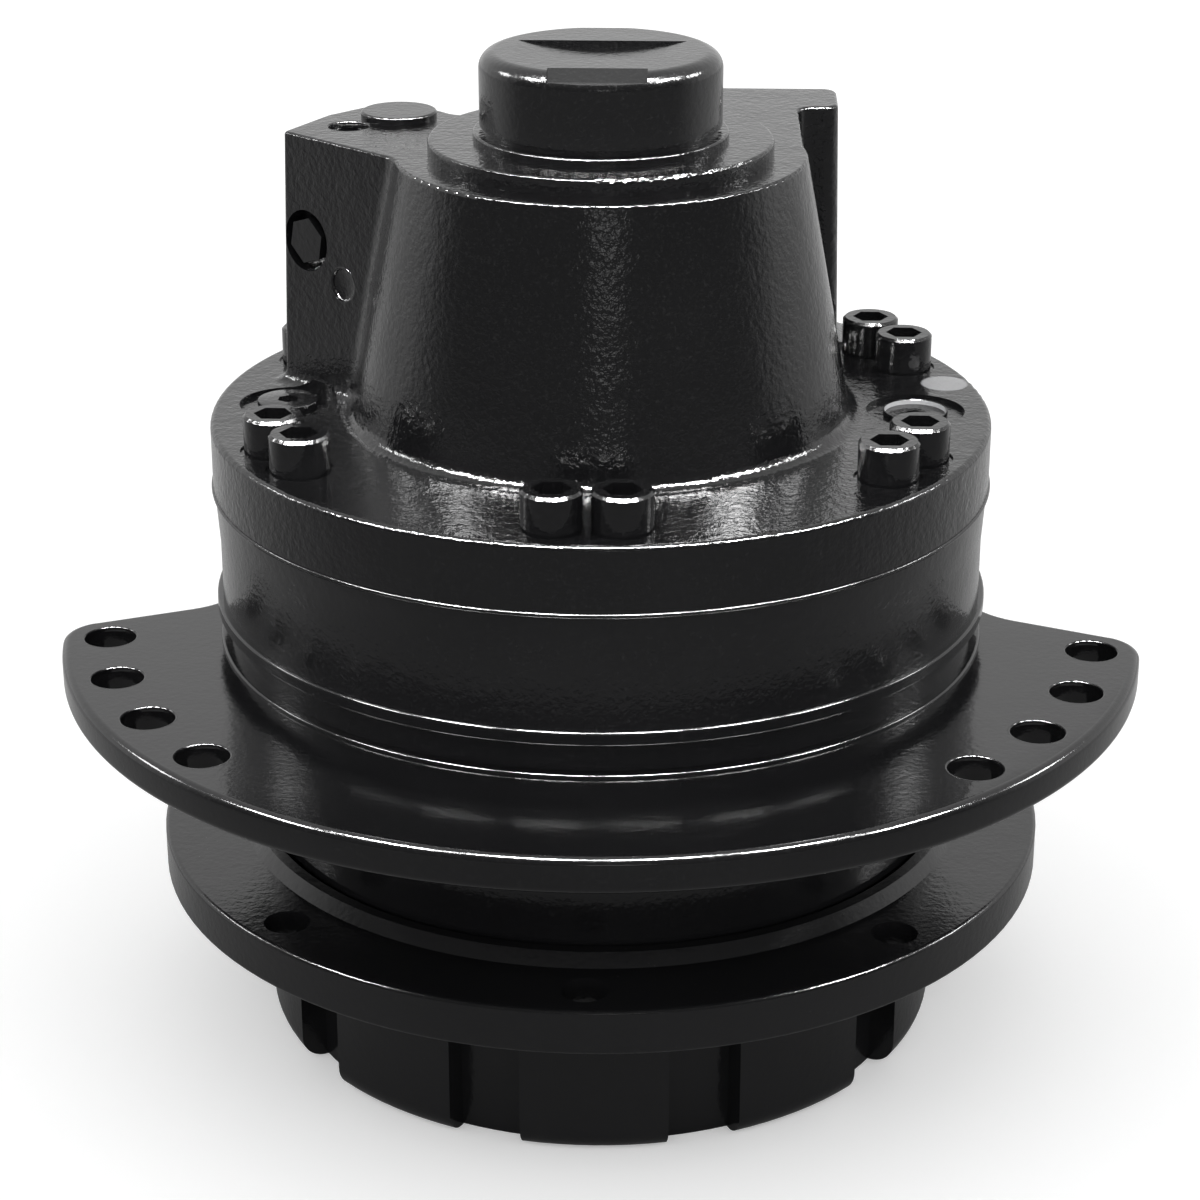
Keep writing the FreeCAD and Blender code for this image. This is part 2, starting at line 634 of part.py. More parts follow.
def bearing_nut():
    """Slotted nut that sets the bearings' preload."""
    body = ring("bearing_nut", [
        ("high_bore", NUT_FOOT),
        ("nut_radius", NUT_FOOT),
        ("nut_radius", f"{NUT_FOOT} + nut_width"),
        ("high_bore", f"{NUT_FOOT} + nut_width"),
    ])
    slot = extrude(body, "Slot", [
        ("nut_radius - 5", "-nut_slot / 2"),
        ("nut_radius + 2", "-nut_slot / 2"),
        ("nut_radius + 2", "nut_slot / 2"),
        ("nut_radius - 5", "nut_slot / 2"),
    ], NUT_FOOT, "nut_width + 1", cut=True)
    repeat(body, "Slots", [slot], NUT_SLOTS)


def shaft_seal():
    """Lip seal between the case and the seal journal: a steel-backed ring with
    its lip on the journal."""
    foot, head = SUPPORT_FOOT, BEARING_FOOT
    ring("shaft_seal", [
        ("journal_radius + 4", foot),
        ("seal_housing", foot),
        ("seal_housing", f"{head} - 1"),
        ("journal_radius + 9", f"{head} - 1"),
        ("journal_radius + 9", f"{foot} + 3"),
        ("journal_radius + 5", f"{foot} + 3"),
        ("journal_radius + 3", f"{head} - 2"),
        ("journal_radius + 0.05", f"{foot} + 5"),
    ])


def bearing_support():
    """Lower case half with the two mounting ears."""
    body = new_body("bearing_support")
    ear_foot = f"({EAR_FACE} - ear_thick)"
    cylinder(body, "EarDisc", "ear_radius", "ear_thick", z=ear_foot)
    apex = "ear_back / cos(ear_back_angle)"
    beyond = "(ear_radius + 20)"
    drop = f"{apex} - {beyond} * tan(ear_back_angle)"
    extrude(body, "EarBack", [
        ("0", apex),
        (f"-{beyond}", drop),
        (f"-{beyond}", beyond),
        (beyond, beyond),
        (beyond, drop),
    ], f"{ear_foot} - 1", "ear_thick + 2", cut=True)
    tips = [spot.Point for spot in body.Tip.Shape.Vertexes if spot.Point.y < number(apex) - 1]
    dress(body, "EarCorners", "Fillet", "ear_corner", upright(*[(tip.x, tip.y) for tip in tips]))
    cylinder(body, "EarBore", "high_outside", "ear_thick + 2", z=f"{ear_foot} - 1", cut=True)
    pilot_top = f"({EAR_FACE} + pilot_high)"
    rim_foot = f"({CAM_FOOT} - rim_thick)"
    recess = f"({BLOCK_FOOT} - block_gap)"
    revolve(body, "Barrel", [
        ("seal_housing", SUPPORT_FOOT),
        ("support_radius - 1.5", SUPPORT_FOOT),
        ("support_radius", f"{SUPPORT_FOOT} + 1.5"),
        ("support_radius", f"{ear_foot} - 6"),
        ("support_radius + 6", ear_foot, "-6"),
        ("pilot_radius", ear_foot),
        *corner("pilot_radius", pilot_top, "0.8", "+v", "-u"),
        ("groove_radius", pilot_top),
        ("groove_radius", rim_foot),
        *corner("rim_radius", rim_foot, "1", "+u", "+v"),
        *corner("rim_radius", CAM_FOOT, "0.8", "+v", "-u"),
        ("block_radius + 2.5", CAM_FOOT),
        ("block_radius + 2.5", recess),
        ("high_outside", recess),
        ("high_outside", SHOULDER_HEAD),
        ("shoulder_bore", SHOULDER_HEAD),
        ("shoulder_bore", SHOULDER_FOOT),
        ("low_outside", SHOULDER_FOOT),
        ("low_outside", BEARING_FOOT),
        ("seal_housing", BEARING_FOOT),
    ])
    ear_low, ear_high = number(ear_foot), number(EAR_FACE)
    barrel = number("pilot_radius")
    def root(edge):
        ends = [vertex.Point for vertex in edge.Vertexes]
        return len(ends) == 2 and all(
            abs(math.hypot(end.x, end.y) - barrel) < 0.05 and end.y > 0
            and ear_low - 0.01 < end.z < ear_high + 0.01 for end in ends
        ) and abs(ends[0].z - ends[1].z) > 1
    dress(body, "EarRoots", "Fillet", "ear_fillet", root)
    def ear_rim(edge):
        middle = edge.valueAt((edge.FirstParameter + edge.LastParameter) / 2)
        ends = [vertex.Point for vertex in edge.Vertexes]
        level = abs(ends[0].z - ends[-1].z) < 0.01 and abs(middle.z - ends[0].z) < 0.01
        return level and math.hypot(middle.x, middle.y) > barrel + 4 and (
            abs(middle.z - ear_high) < 0.01 or abs(middle.z - ear_low) < 0.01
        )
    dress(body, "EarRim", "Fillet", "ear_edge", ear_rim)
    for side in (-1, 1):
        for index in range(EAR_HOLES):
            step = index - (EAR_HOLES - 1) / 2
            angle = f"{FRONT} + {side} * (ear_hole_centre + {step} * ear_hole_pitch)"
            x, y = around("ear_circle", angle)
            name = f"EarHole{'Left' if side < 0 else 'Right'}{index + 1}"
            cylinder(body, name, "ear_hole", "ear_thick + 2", x, y, f"{ear_foot} - 1", cut=True)
    case_seal_groove(body, CAM_FOOT, "-")
    screw_holes(body, "Tapped", f"{CAM_FOOT} - screw_grip - 4", "screw_grip + 5",
                "screw_radius + thread_gap")


def screw_holes(body, name, foot, height, radius):
    """Six pairs of holes for the cover screws."""
    pair = []
    for side in (-1, 1):
        x, y = around("screw_circle", f"{FRONT} + {side} * screw_spread")
        pair.append(cylinder(body, f"{name}{'Left' if side < 0 else 'Right'}", radius, height,
                             x, y, foot, cut=True))
    repeat(body, name + "Holes", pair, SCREW_PAIRS)


def case_seal_groove(body, face, way):
    """Groove for a case seal in a flat face; way is the side it is cut to."""
    revolve(body, "SealGroove", case_seal_outline(face, way), cut=True)


def case_seal_outline(face, way):
    low, high = (f"{face} - seal_groove", face) if way == "-" else (face, f"{face} + seal_groove")
    return [
        ("seal_circle - seal_section / 2", low),
        ("seal_circle + seal_section / 2", low),
        ("seal_circle + seal_section / 2", high),
        ("seal_circle - seal_section / 2", high),
    ]


def case_seals():
    """Square seals on both faces of the cam ring."""
    ring("support_seal", case_seal_outline(CAM_FOOT, "-"))
    ring("cover_seal", case_seal_outline(COVER_FOOT, "+"))


def cam_ring():
    """Fixed ring with the cam: six valleys cut by cylinders, joined by
    rounded peaks in line with the pairs of cover screws."""
    body = new_body("cam_ring")
    flare_foot = f"({COVER_FOOT} - cam_high / 2)"
    revolve(body, "Ring", [
        ("0", CAM_FOOT),
        ("cam_radius", CAM_FOOT),
        ("cam_radius", flare_foot),
        *corner("cam_radius + cam_flare", COVER_FOOT, "cam_round", "+v", "-u"),
        ("0", COVER_FOOT),
    ])
    centre = "(valley_reach - valley_radius)"
    valley = cylinder(body, "Valley", "valley_radius", "cam_high + 2", centre,
                      z=f"{CAM_FOOT} - 1", cut=True)
    repeat(body, "Valleys", [valley], CAM_LOBES)
    half = math.pi / CAM_LOBES
    away, reach = number(centre), number("valley_radius")
    peak = away * math.cos(half) + math.sqrt(reach**2 - (away * math.sin(half)) ** 2)
    cusps = [
        (peak * math.cos(half * odd), peak * math.sin(half * odd))
        for odd in range(1, 2 * CAM_LOBES, 2)
    ]
    dress(body, "Peaks", "Fillet", "peak_radius", upright(*cusps))
    screw_holes(body, "Clearance", f"{CAM_FOOT} - 1", "cam_high + 2",
                "screw_radius + screw_hole_gap")


def cylinder_block():
    """Block on the shaft's spline, with radial bores and an oil passage to each."""
    body = new_body("cylinder_block")
    revolve(body, "Block", [
        ("spline_radius", BLOCK_FOOT),
        ("block_radius - 2", BLOCK_FOOT),
        ("block_radius", f"{BLOCK_FOOT} + 2"),
        ("block_radius", f"{BLOCK_HEAD} - 2"),
        ("block_radius - 2", BLOCK_HEAD),
        ("spline_radius", BLOCK_HEAD),
    ])
    for index in range(PISTONS):
        place = f"first_piston + {index} * {360 / PISTONS}"
        x, y = around("bore_floor", f"({place})")
        angle = math.radians(number(place))
        outwards = Rotation(Vector(0, 0, 1), Vector(math.cos(angle), math.sin(angle), 0))
        cylinder(body, f"Bore{index + 1}", "bore_radius", "block_radius", x, y, CAM_MIDDLE,
                 outwards, cut=True)
        x, y = around("passage_circle", f"({place})")
        cylinder(body, f"Passage{index + 1}", "passage_radius", "block_high / 2 + 1", x, y,
                 CAM_MIDDLE, cut=True)


def piston(index):
    """Radial piston with a saddle for its roller, at rest fully in."""
    body = new_body(f"piston_{index + 1}")
    outwards = Rotation(Vector(0, 1, 0), 90)
    foot = "(roller_rest + saddle_wrap - piston_long)"
    cylinder(body, "Skirt", "bore_radius - bore_fit", "piston_long", foot, z=CAM_MIDDLE,
             turn=outwards)
    cylinder(body, "Saddle", "roller_radius + roller_fit", "2 * bore_radius + 2", "roller_rest",
             z=f"{CAM_MIDDLE} - bore_radius - 1", cut=True)
    cylinder(body, "Hollow", "bore_radius / 2", "piston_long / 3", foot, z=CAM_MIDDLE,
             turn=outwards, cut=True)
    body.Placement = Placement(Vector(), Rotation(Vector(0, 0, 1), 1))
    bind(body, Placement__Rotation__Angle=f"first_piston + {index} * {360 / PISTONS}")


def cam_roller(index):
    """Roller that runs on the cam, lying in its piston's saddle."""
    roller = doc.addObject("Part::Cylinder", f"cam_roller_{index + 1}")
    roller.Label = f"cam_roller_{index + 1}"
    x, y = around("roller_rest", f"first_piston + {index} * {360 / PISTONS}")
    bind(roller, Radius="roller_radius", Height="roller_long", Placement__Base__x=x,
         Placement__Base__y=y, Placement__Base__z=f"{CAM_MIDDLE} - roller_long / 2")


def distributor():
    """Fixed valve that feeds oil to the block's passages through its ports."""
    body = new_body("distributor")
    groove_floor = "distributor_radius - gallery_depth"
    grooves = []
    for index in range(GALLERIES):
        foot = f"({DISTRIBUTOR_FOOT} + (distributor_high - gallery_width) * {index + 1} / 4)"
        grooves += [
            ("distributor_radius", foot),
            (groove_floor, foot),
            (groove_floor, f"{foot} + gallery_width"),
            ("distributor_radius", f"{foot} + gallery_width"),
        ]
    revolve(body, "Body", [
        ("distributor_bore", DISTRIBUTOR_FOOT),
        ("distributor_radius", DISTRIBUTOR_FOOT),
        *grooves,
        ("distributor_radius", DISTRIBUTOR_HEAD),
        ("distributor_bore", DISTRIBUTOR_HEAD),
    ])
    x, y = around("passage_circle", "15")
    port = cylinder(body, "Port", "passage_radius", "distributor_high / 2", x, y,
                    f"{DISTRIBUTOR_FOOT} - 1", cut=True)
    repeat(body, "Ports", [port], 2 * CAM_LOBES)


def disc_spring(label, inside, outside, thick, foot, head):
    """Cone-shaped spring washer that stands on its outer rim."""
    ring(label, [
        (outside, foot),
        (outside, f"{foot} + {thick}"),
        (inside, head),
        (inside, f"{head} - {thick}"),
    ])


def brake():
    """Lined discs on the brake shaft between steel discs in the cover, pressed
    together by a spring through the brake piston; oil lifts the piston."""
    steel = new_body("steel_brake_discs", several=True)
    disc = revolve(steel, "Disc", [
        ("steel_inside", BRAKE_FLOOR),
        ("brake_bore - distributor_fit", BRAKE_FLOOR),
        ("brake_bore - distributor_fit", f"{BRAKE_FLOOR} + disc_thick"),
        ("steel_inside", f"{BRAKE_FLOOR} + disc_thick"),
    ])
    pile(steel, "Discs", disc, f"2 * {DISC_PITCH}", LINED_DISCS + 1)
    lined = new_body("lined_brake_discs", several=True)
    foot = f"({BRAKE_FLOOR} + {DISC_PITCH})"
    disc = revolve(lined, "Disc", [
        ("brake_hub", foot),
        ("lining_outside", foot),
        ("lining_outside", f"{foot} + disc_thick"),
        ("brake_hub", f"{foot} + disc_thick"),
    ])
    pile(lined, "Discs", disc, f"2 * {DISC_PITCH}", LINED_DISCS)
    ring("brake_shaft", [
        ("0", f"{BLOCK_HEAD} - socket_depth + 1"),
        ("socket_radius", f"{BLOCK_HEAD} - socket_depth + 1"),
        ("socket_radius", BLOCK_HEAD),
        ("distributor_bore - 5", BLOCK_HEAD),
        ("distributor_bore - 5", BRAKE_FLOOR),
        ("brake_hub", BRAKE_FLOOR),
        ("brake_hub", f"{STACK_HEAD} - 1"),
        ("0", f"{STACK_HEAD} - 1"),
    ])
    ring("brake_piston", [
        ("brake_piston_bore", STACK_HEAD),
        ("brake_bore - distributor_fit", STACK_HEAD),
        ("brake_bore - distributor_fit", f"{STACK_HEAD} + 5"),
        ("brake_bore - 2.5", f"{STACK_HEAD} + 5"),
        ("brake_bore - 2.5", f"{STACK_HEAD} + 8"),
        ("brake_bore - distributor_fit", f"{STACK_HEAD} + 8"),
        ("brake_bore - distributor_fit", PISTON_HEAD),
        ("brake_piston_bore", PISTON_HEAD),
    ])
    disc_spring("brake_spring", "brake_piston_bore + 2", "brake_bore - 2",
                "brake_spring_thick", PISTON_HEAD, BRAKE_ROOF)
    disc_spring("distributor_spring", "brake_bore + 2", "distributor_radius - 1",
                "1", DISTRIBUTOR_HEAD, PARTITION_FOOT)


def valve_cover():
    """Upper case half: flange, tower over the brake, and port block with a
    control arm. The block is drawn at its top face and widens down by its draft."""
    body = new_body("valve_cover")
    corners = [
        ("-arm_tip_x", "arm_tip_y"),
        ("-arm_back_x", "arm_back_y"),
        ("-arm_rear_x", "arm_rear_y"),
        ("-arm_end_x", "arm_end_y"),
        ("-notch_x", "notch_y"),
        ("-port_left", "port_left_y"),
        ("-port_left", "port_back"),
        ("port_right", "port_back"),
        ("port_right", "port_right_y"),
        ("port_neck_x", "port_neck_y"),
    ]
    extrude(body, "Block", [
        ("-arm_front_x", "-arm_front_y"),
        ("port_root_x", "port_root_y"),
        *reversed(corners),
    ], TOWER_TOP, "tower_high + 1", taper="block_draft", down=True)
    dress(body, "BlockCorners", "Fillet", "block_corner", upright(*corners[1:]))
    dress(body, "ArmTip", "Fillet", "tip_corner", upright(corners[0]))
    revolve(body, "Tower", [
        ("0", COVER_FOOT),
        ("cover_radius", COVER_FOOT),
        *corner("cover_radius", COVER_FACE, "cover_round", "+v", "-u"),
        ("tower_foot", COVER_FACE),
        ("tower_head", TOWER_TOP),
        ("boss_radius", TOWER_TOP),
        *corner("boss_radius", BOSS_TOP, "1", "+v", "-u"),
        ("collar_radius", BOSS_TOP),
        *corner("collar_radius", CAP_FOOT, "0.7", "+v", "-u"),
        ("0", CAP_FOOT),
    ])
    tower_top, cover_face = number(TOWER_TOP), number(COVER_FACE)
    boss, outside = number("boss_radius"), number("cover_radius")
    def level(edge, height):
        middle = edge.valueAt((edge.FirstParameter + edge.LastParameter) / 2)
        ends = [vertex.Point for vertex in edge.Vertexes]
        return all(abs(spot.z - height) < 0.01 for spot in [*ends, middle]) and middle
    def top_edge(edge):
        middle = level(edge, tower_top)
        return middle and math.hypot(middle.x, middle.y) > boss + 1
    def foot_edge(edge):
        middle = level(edge, cover_face)
        return middle and math.hypot(middle.x, middle.y) < outside - 5
    def arm_root(edge):
        middle = edge.valueAt((edge.FirstParameter + edge.LastParameter) / 2)
        return middle.x < -boss and middle.y < 0 and cover_face < middle.z < tower_top and all(
            vertex.Point.x < -boss and vertex.Point.y < 5 for vertex in edge.Vertexes
        ) and edge.Length > 0.9 * (tower_top - cover_face)
    dress(body, "ArmRoot", "Fillet", "arm_fillet", arm_root)
    dress(body, "TowerFoot", "Fillet", "tower_fillet", foot_edge)
    dress(body, "TowerHead", "Fillet", "block_edge", top_edge)
    revolve(body, "Hollow", [
        ("0", f"{COVER_FOOT} - 1"),
        ("block_radius + 2.5", f"{COVER_FOOT} - 1"),
        ("block_radius + 2.5", f"{BLOCK_HEAD} + block_gap"),
        ("distributor_radius + distributor_fit", f"{BLOCK_HEAD} + block_gap"),
        ("distributor_radius + distributor_fit", PARTITION_FOOT),
        ("brake_hub + partition_gap", PARTITION_FOOT),
        ("brake_hub + partition_gap", BRAKE_FLOOR),
        ("brake_bore", BRAKE_FLOOR),
        ("brake_bore", BRAKE_ROOF),
        ("cap_bore", BRAKE_ROOF),
        ("cap_bore", f"{CAP_FOOT} + 1"),
        ("0", f"{CAP_FOOT} + 1"),
    ], cut=True)
    case_seal_groove(body, COVER_FOOT, "+")
    screw_holes(body, "Clearance", f"{COVER_FOOT} - 1", "cover_thick + 2",
                "screw_radius + screw_hole_gap")
    screw_holes(body, "HeadSeat", f"{COVER_FACE} - seat_depth", "seat_relief", "seat_radius")
    for side in (-1, 1):
        name = "BleedLeft" if side < 0 else "BleedRight"
        cylinder(body, name + "Seat", "bleed_seat", "bleed_sink + 3", f"{side} * bleed_across",
                 z=f"{COVER_FACE} - bleed_sink", cut=True)
        cylinder(body, name + "Hole", "bleed_stem", "bleed_reach + 1", f"{side} * bleed_across",
                 z=f"{COVER_FACE} - bleed_sink - bleed_reach", cut=True)
    cylinder(body, "TopCapHole", "top_cap_stem", "top_cap_reach + 1", "-top_cap_x", "top_cap_y",
             f"{TOWER_TOP} - top_cap_reach", cut=True)
    cylinder(body, "TopPlugHole", "top_plug_radius", "top_plug_reach + 1", "-top_plug_x",
             "top_plug_y", f"{TOWER_TOP} - top_plug_reach", cut=True)
    inwards = arm_turn()
    for name, radius, start, depth, low, along in (
        ("SidePlugRecess", "side_plug_radius", "5", "side_plug_depth + 5", "side_plug_low",
         "side_plug_in"),
        ("SidePlugThread", "side_plug_thread", "5", "side_plug_depth + side_plug_reach + 5",
         "side_plug_low", "side_plug_in"),
        ("SpoolBore", "spool_bore", "5",
         "side_plug_depth + side_plug_reach + spool_long + spool_spring + 5", "side_plug_low",
         "side_plug_in"),
        ("SmallPlugHole", "small_plug_radius", "5", "small_plug_sink + small_plug_reach + 5",
         "small_plug_low", "small_plug_in"),
    ):
        x, y = on_arm(low, along, start)
        cylinder(body, name, radius, depth, x, y, f"{TOWER_TOP} - {low}", inwards, cut=True)
    into = Rotation(Vector(1, 0, 0), 90)
    for name, across, high, radius, depth in (
        ("MainPortLeft", "main_port_left", "main_port_high", "main_port", "main_port_depth"),
        ("MainPortRight", "main_port_right", "main_port_high", "main_port", "main_port_depth"),
        ("DrainPort", "small_port_left", "small_port_high", "small_port", "small_port_depth"),
        ("BrakePort", "small_port_right", "small_port_high", "small_port", "small_port_depth"),
    ):
        face = port_face(high)
        cylinder(body, name + "Face", f"{radius} * 1.5", "6", across, f"{face} + 5",
                 f"{COVER_FACE} + {high}", into, cut=True)
        cylinder(body, name, radius, f"{depth} + 6", across, f"{face} + 5",
                 f"{COVER_FACE} + {high}", into, cut=True)


ARM_SLOPE = "atan((arm_tip_y + arm_front_y) / (arm_tip_x - arm_front_x))"


def arm_turn():
    """Turns +Z to point into the arm's front face."""
    slope = math.radians(number(ARM_SLOPE))
    return Rotation(Vector(0, 0, 1), Vector(math.sin(slope), math.cos(slope), 0))


def on_arm(low, along, out):
    """A place on the arm's front face, below the top, along from the tip, and
    standing out from the face, which leans by the draft."""
    stand = f"({low} * tan(block_draft) + {out})"
    x = f"-arm_tip_x + {along} * cos({ARM_SLOPE}) - {stand} * sin({ARM_SLOPE})"
    y = f"arm_tip_y - {along} * sin({ARM_SLOPE}) - {stand} * cos({ARM_SLOPE})"
    return x, y


def port_face(high):
    """How far back the port block's leaning back face is at a height."""
    return f"(port_back + (tower_high - {high}) * tan(block_draft))"


def cover_screws():
    """Socket head screws in pairs through the cover and the cam ring."""
    body = new_body("cover_screws", several=True)
    under = f"({COVER_FACE} - seat_depth)"
    tip = f"({CAM_FOOT} - screw_grip)"
    bevel_foot = f"({under} + screw_head_high - screw_chamfer)"
    pieces = []
    for side in (-1, 1):
        name = "Left" if side < 0 else "Right"
        x, y = around("screw_circle", f"{FRONT} + {side} * screw_spread")
        pieces.append(cylinder(body, "Head" + name, "screw_head",
                               "screw_head_high - screw_chamfer", x, y, under))
        bevel = body.newObject("PartDesign::AdditiveCone", "Bevel" + name)
        attach(body, bevel, "XY_Plane", x, y, bevel_foot)
        bind(bevel, Radius1="screw_head", Radius2="screw_head - screw_chamfer",
             Height="screw_chamfer")
        body.Tip = bevel
        pieces.append(bevel)
        pieces.append(cylinder(body, "Shank" + name, "screw_radius", f"{under} - {tip}", x, y,
                               tip))
        pieces.append(prism(body, "Socket" + name, "hexagon", "hexagon_depth + 1", x, y,
                            f"{under} + screw_head_high - hexagon_depth", cut=True))
    repeat(body, "Screws", pieces, SCREW_PAIRS)


def end_cap():
    """Threaded cap over the brake, with a wide slot, a notch and a flat."""
    body = new_body("end_cap")
    groove_top = f"({CAP_FOOT} + cap_groove_high)"
    revolve(body, "Cap", [
        ("0", f"{CAP_TOP} - cap_roof"),
        ("cap_bore - cap_wall", f"{CAP_TOP} - cap_roof"),
        ("cap_bore - cap_wall", f"{CAP_FOOT} - cap_thread"),
        ("cap_bore - thread_gap", f"{CAP_FOOT} - cap_thread"),
        ("cap_bore - thread_gap", CAP_FOOT),
        ("cap_radius - cap_groove", CAP_FOOT),
        ("cap_radius - cap_groove", groove_top),
        ("cap_radius", groove_top),
        *corner("cap_radius", CAP_TOP, "cap_round", "+v", "-u"),
        ("0", CAP_TOP),
    ])
    for name, low, high, across, deep in (
        ("Flat", "cap_flat", "cap_radius + 2", "cap_radius", "cap_flat_high"),
        ("Notch", "-cap_radius - 2", "-cap_notch", "cap_notch_wide / 2", "cap_notch_deep"),
    ):
        extrude(body, name, [
            (f"-{across}", low), (across, low), (across, high), (f"-{across}", high),
        ], f"{CAP_TOP} - {deep}", f"{deep} + 1", cut=True)
    half = "sqrt(coin_radius ^ 2 - (coin_radius - coin_sink) ^ 2)"
    slot = body.newObject("PartDesign::Pocket", "CoinSlot")
    sketch = outline(body, "CoinSlotOutline", [
        (f"-{half}", f"{CAP_TOP} + 1"),
        (f"-{half}", CAP_TOP),
        (half, CAP_TOP, "coin_radius"),
        (half, f"{CAP_TOP} + 1"),
    ])
    slot.Profile = (sketch, [""])
    slot.Midplane = True
    bind(slot, Length="coin_width")
    body.Tip = slot
    doc.recompute()
    revolve(body, "SealGroove", cap_seal_outline(), cut=True)


def cap_seal_outline():
    inner = "(cap_radius - cap_groove - cap_seal_wall - cap_seal_section)"
    return [
        (inner, CAP_FOOT),
        (f"{inner} + cap_seal_section", CAP_FOOT),
        (f"{inner} + cap_seal_section", f"{CAP_FOOT} + cap_seal_section"),
        (inner, f"{CAP_FOOT} + cap_seal_section"),
    ]


def plugs():
    """Round cap, socket plug, control plugs and bleed plugs of the cover."""
    cap = new_body("arm_cap")
    cylinder(cap, "Stem", "top_cap_stem - thread_gap", "top_cap_reach", "-top_cap_x", "top_cap_y",
             f"{TOWER_TOP} - top_cap_reach")
    cylinder(cap, "Head", "top_cap_radius", "top_cap_high", "-top_cap_x", "top_cap_y", TOWER_TOP)
    head_top = number(f"{TOWER_TOP} + top_cap_high")
    dress(cap, "Edge", "Fillet", "top_cap_high / 3",
          lambda edge: all(abs(spot.Point.z - head_top) < 0.01 for spot in edge.Vertexes))

    plug = new_body("arm_plug")
    cylinder(plug, "Plug", "top_plug_radius - thread_gap", "top_plug_reach - top_plug_sink",
             "-top_plug_x", "top_plug_y", f"{TOWER_TOP} - top_plug_reach")
    prism(plug, "Socket", "top_plug_radius", "top_plug_reach / 2 + 1", "-top_plug_x",
          "top_plug_y", f"{TOWER_TOP} - top_plug_sink - top_plug_reach / 2", cut=True)

    inwards = arm_turn()
    plug = new_body("spool_plug")
    x, y = on_arm("side_plug_low", "side_plug_in", "0")
    height = f"{TOWER_TOP} - side_plug_low"
    prism(plug, "Hexagon", "side_plug_hexagon", "side_plug_depth", x, y, height, inwards)
    x, y = on_arm("side_plug_low", "side_plug_in", "-side_plug_depth")
    cylinder(plug, "Thread", "side_plug_thread - thread_gap", "side_plug_reach", x, y, height,
             inwards)

    plug = new_body("small_plug")
    x, y = on_arm("small_plug_low", "small_plug_in", "-small_plug_sink")
    cylinder(plug, "Plug", "small_plug_radius - thread_gap", "small_plug_reach", x, y,
             f"{TOWER_TOP} - small_plug_low", inwards)

    plug = new_body("bleed_plugs", several=True)
    floor = f"({COVER_FACE} - bleed_sink)"
    for side in (-1, 1):
        name, x = ("Left" if side < 0 else "Right"), f"{side} * bleed_across"
        cylinder(plug, "Head" + name, "bleed_radius", "bleed_high", x, z=floor)
        cylinder(plug, "Stem" + name, "bleed_stem - thread_gap", "bleed_reach - 1", x,
                 z=f"{floor} - bleed_reach + 1")
        prism(plug, "Socket" + name, "bleed_hexagon", "bleed_high + 1", x, z=f"{floor} + 0.8",
              cut=True)


def speed_spool():
    """Spool that changes the motor's speed range, with its return spring."""
    inwards = arm_turn()
    height = f"{TOWER_TOP} - side_plug_low"
    body = new_body("speed_spool")
    x, y = on_arm("side_plug_low", "side_plug_in", "-side_plug_depth - side_plug_reach")
    cylinder(body, "Rod", "spool_bore / 2", "spool_long", x, y, height, inwards)
    for name, start in (("FirstLand", "0"), ("SecondLand", "spool_long * 2 / 3")):
        x, y = on_arm("side_plug_low", "side_plug_in",
                      f"-side_plug_depth - side_plug_reach - {start}")
        cylinder(body, name, "spool_bore - spool_fit", "spool_long / 3", x, y, height, inwards)
    x, y = on_arm("side_plug_low", "side_plug_in",
                  "-side_plug_depth - side_plug_reach - spool_long")
    coil = doc.addObject("Part::Helix", "SpringPath")
    wire = "(spool_bore / 8)"
    bind(coil, Pitch=f"(spool_spring - 2 * {wire}) / {SPRING_TURNS}",
         Height=f"spool_spring - 2 * {wire}", Radius=f"spool_bore - 2 * {wire}")
    section = doc.addObject("Part::Circle", "SpringSection")
    bind(section, Radius=wire, Placement__Base__x=f"spool_bore - 2 * {wire}")
    section.Placement.Rotation = Rotation(Vector(1, 0, 0), 90)
    doc.recompute()
    spring = doc.addObject("Part::Sweep", "spool_spring")
    spring.Label = "spool_spring"
    spring.Sections = [section]
    spring.Spine = (coil, ["Edge1"])
    spring.Solid = True
    spring.Frenet = True
    slope = number(ARM_SLOPE)
    spring.Placement = Placement(Vector(), inwards)
    bind(spring, Placement__Base__x=f"{x} + {wire} * sin({slope})",
         Placement__Base__y=f"{y} + {wire} * cos({slope})", Placement__Base__z=height)
    doc.recompute()


output_hub()
bearing_nut()
shaft_seal()
bearing("lower_bearing", BEARING_FOOT, "low_width", "low_bore", "low_outside", "low_roller",
        LOW_ROLLERS, True)
bearing("upper_bearing", SHOULDER_HEAD, "high_width", "high_bore", "high_outside",
        "high_roller", HIGH_ROLLERS, False)
bearing_support()
cam_ring()
case_seals()
cylinder_block()
for place in range(PISTONS):
    piston(place)
    cam_roller(place)
distributor()
brake()
valve_cover()
cover_screws()
end_cap()
ring("cap_seal", cap_seal_outline())
plugs()
speed_spool()
doc.recompute()

for thing in doc.Objects:
    if {"Invalid", "Error"} & set(thing.State):
        raise RuntimeError(f"{thing.Label} failed: {thing.State}")

os.makedirs("parts", exist_ok=True)
PIECES = ("PartDesign::Body", "Part::Cylinder", "Part::Sweep")
for thing in doc.Objects:
    if thing.TypeId not in PIECES:
        continue
    if thing.Shape.isNull() or not thing.Shape.isValid():
        raise RuntimeError(f"{thing.Label} has no valid shape")
    thing.Shape.exportStep(f"parts/{thing.Label}.step")
    print(thing.Label, len(thing.Shape.Solids), round(thing.Shape.Volume))
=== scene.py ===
"""Looks of the final drive motor: gloss black paint over castings and turned
pieces, on a pale studio floor. Lengths are in metres, in the frame of the CAD."""
import json
import math

import bpy
import numpy as np
from mathutils import Matrix, Vector


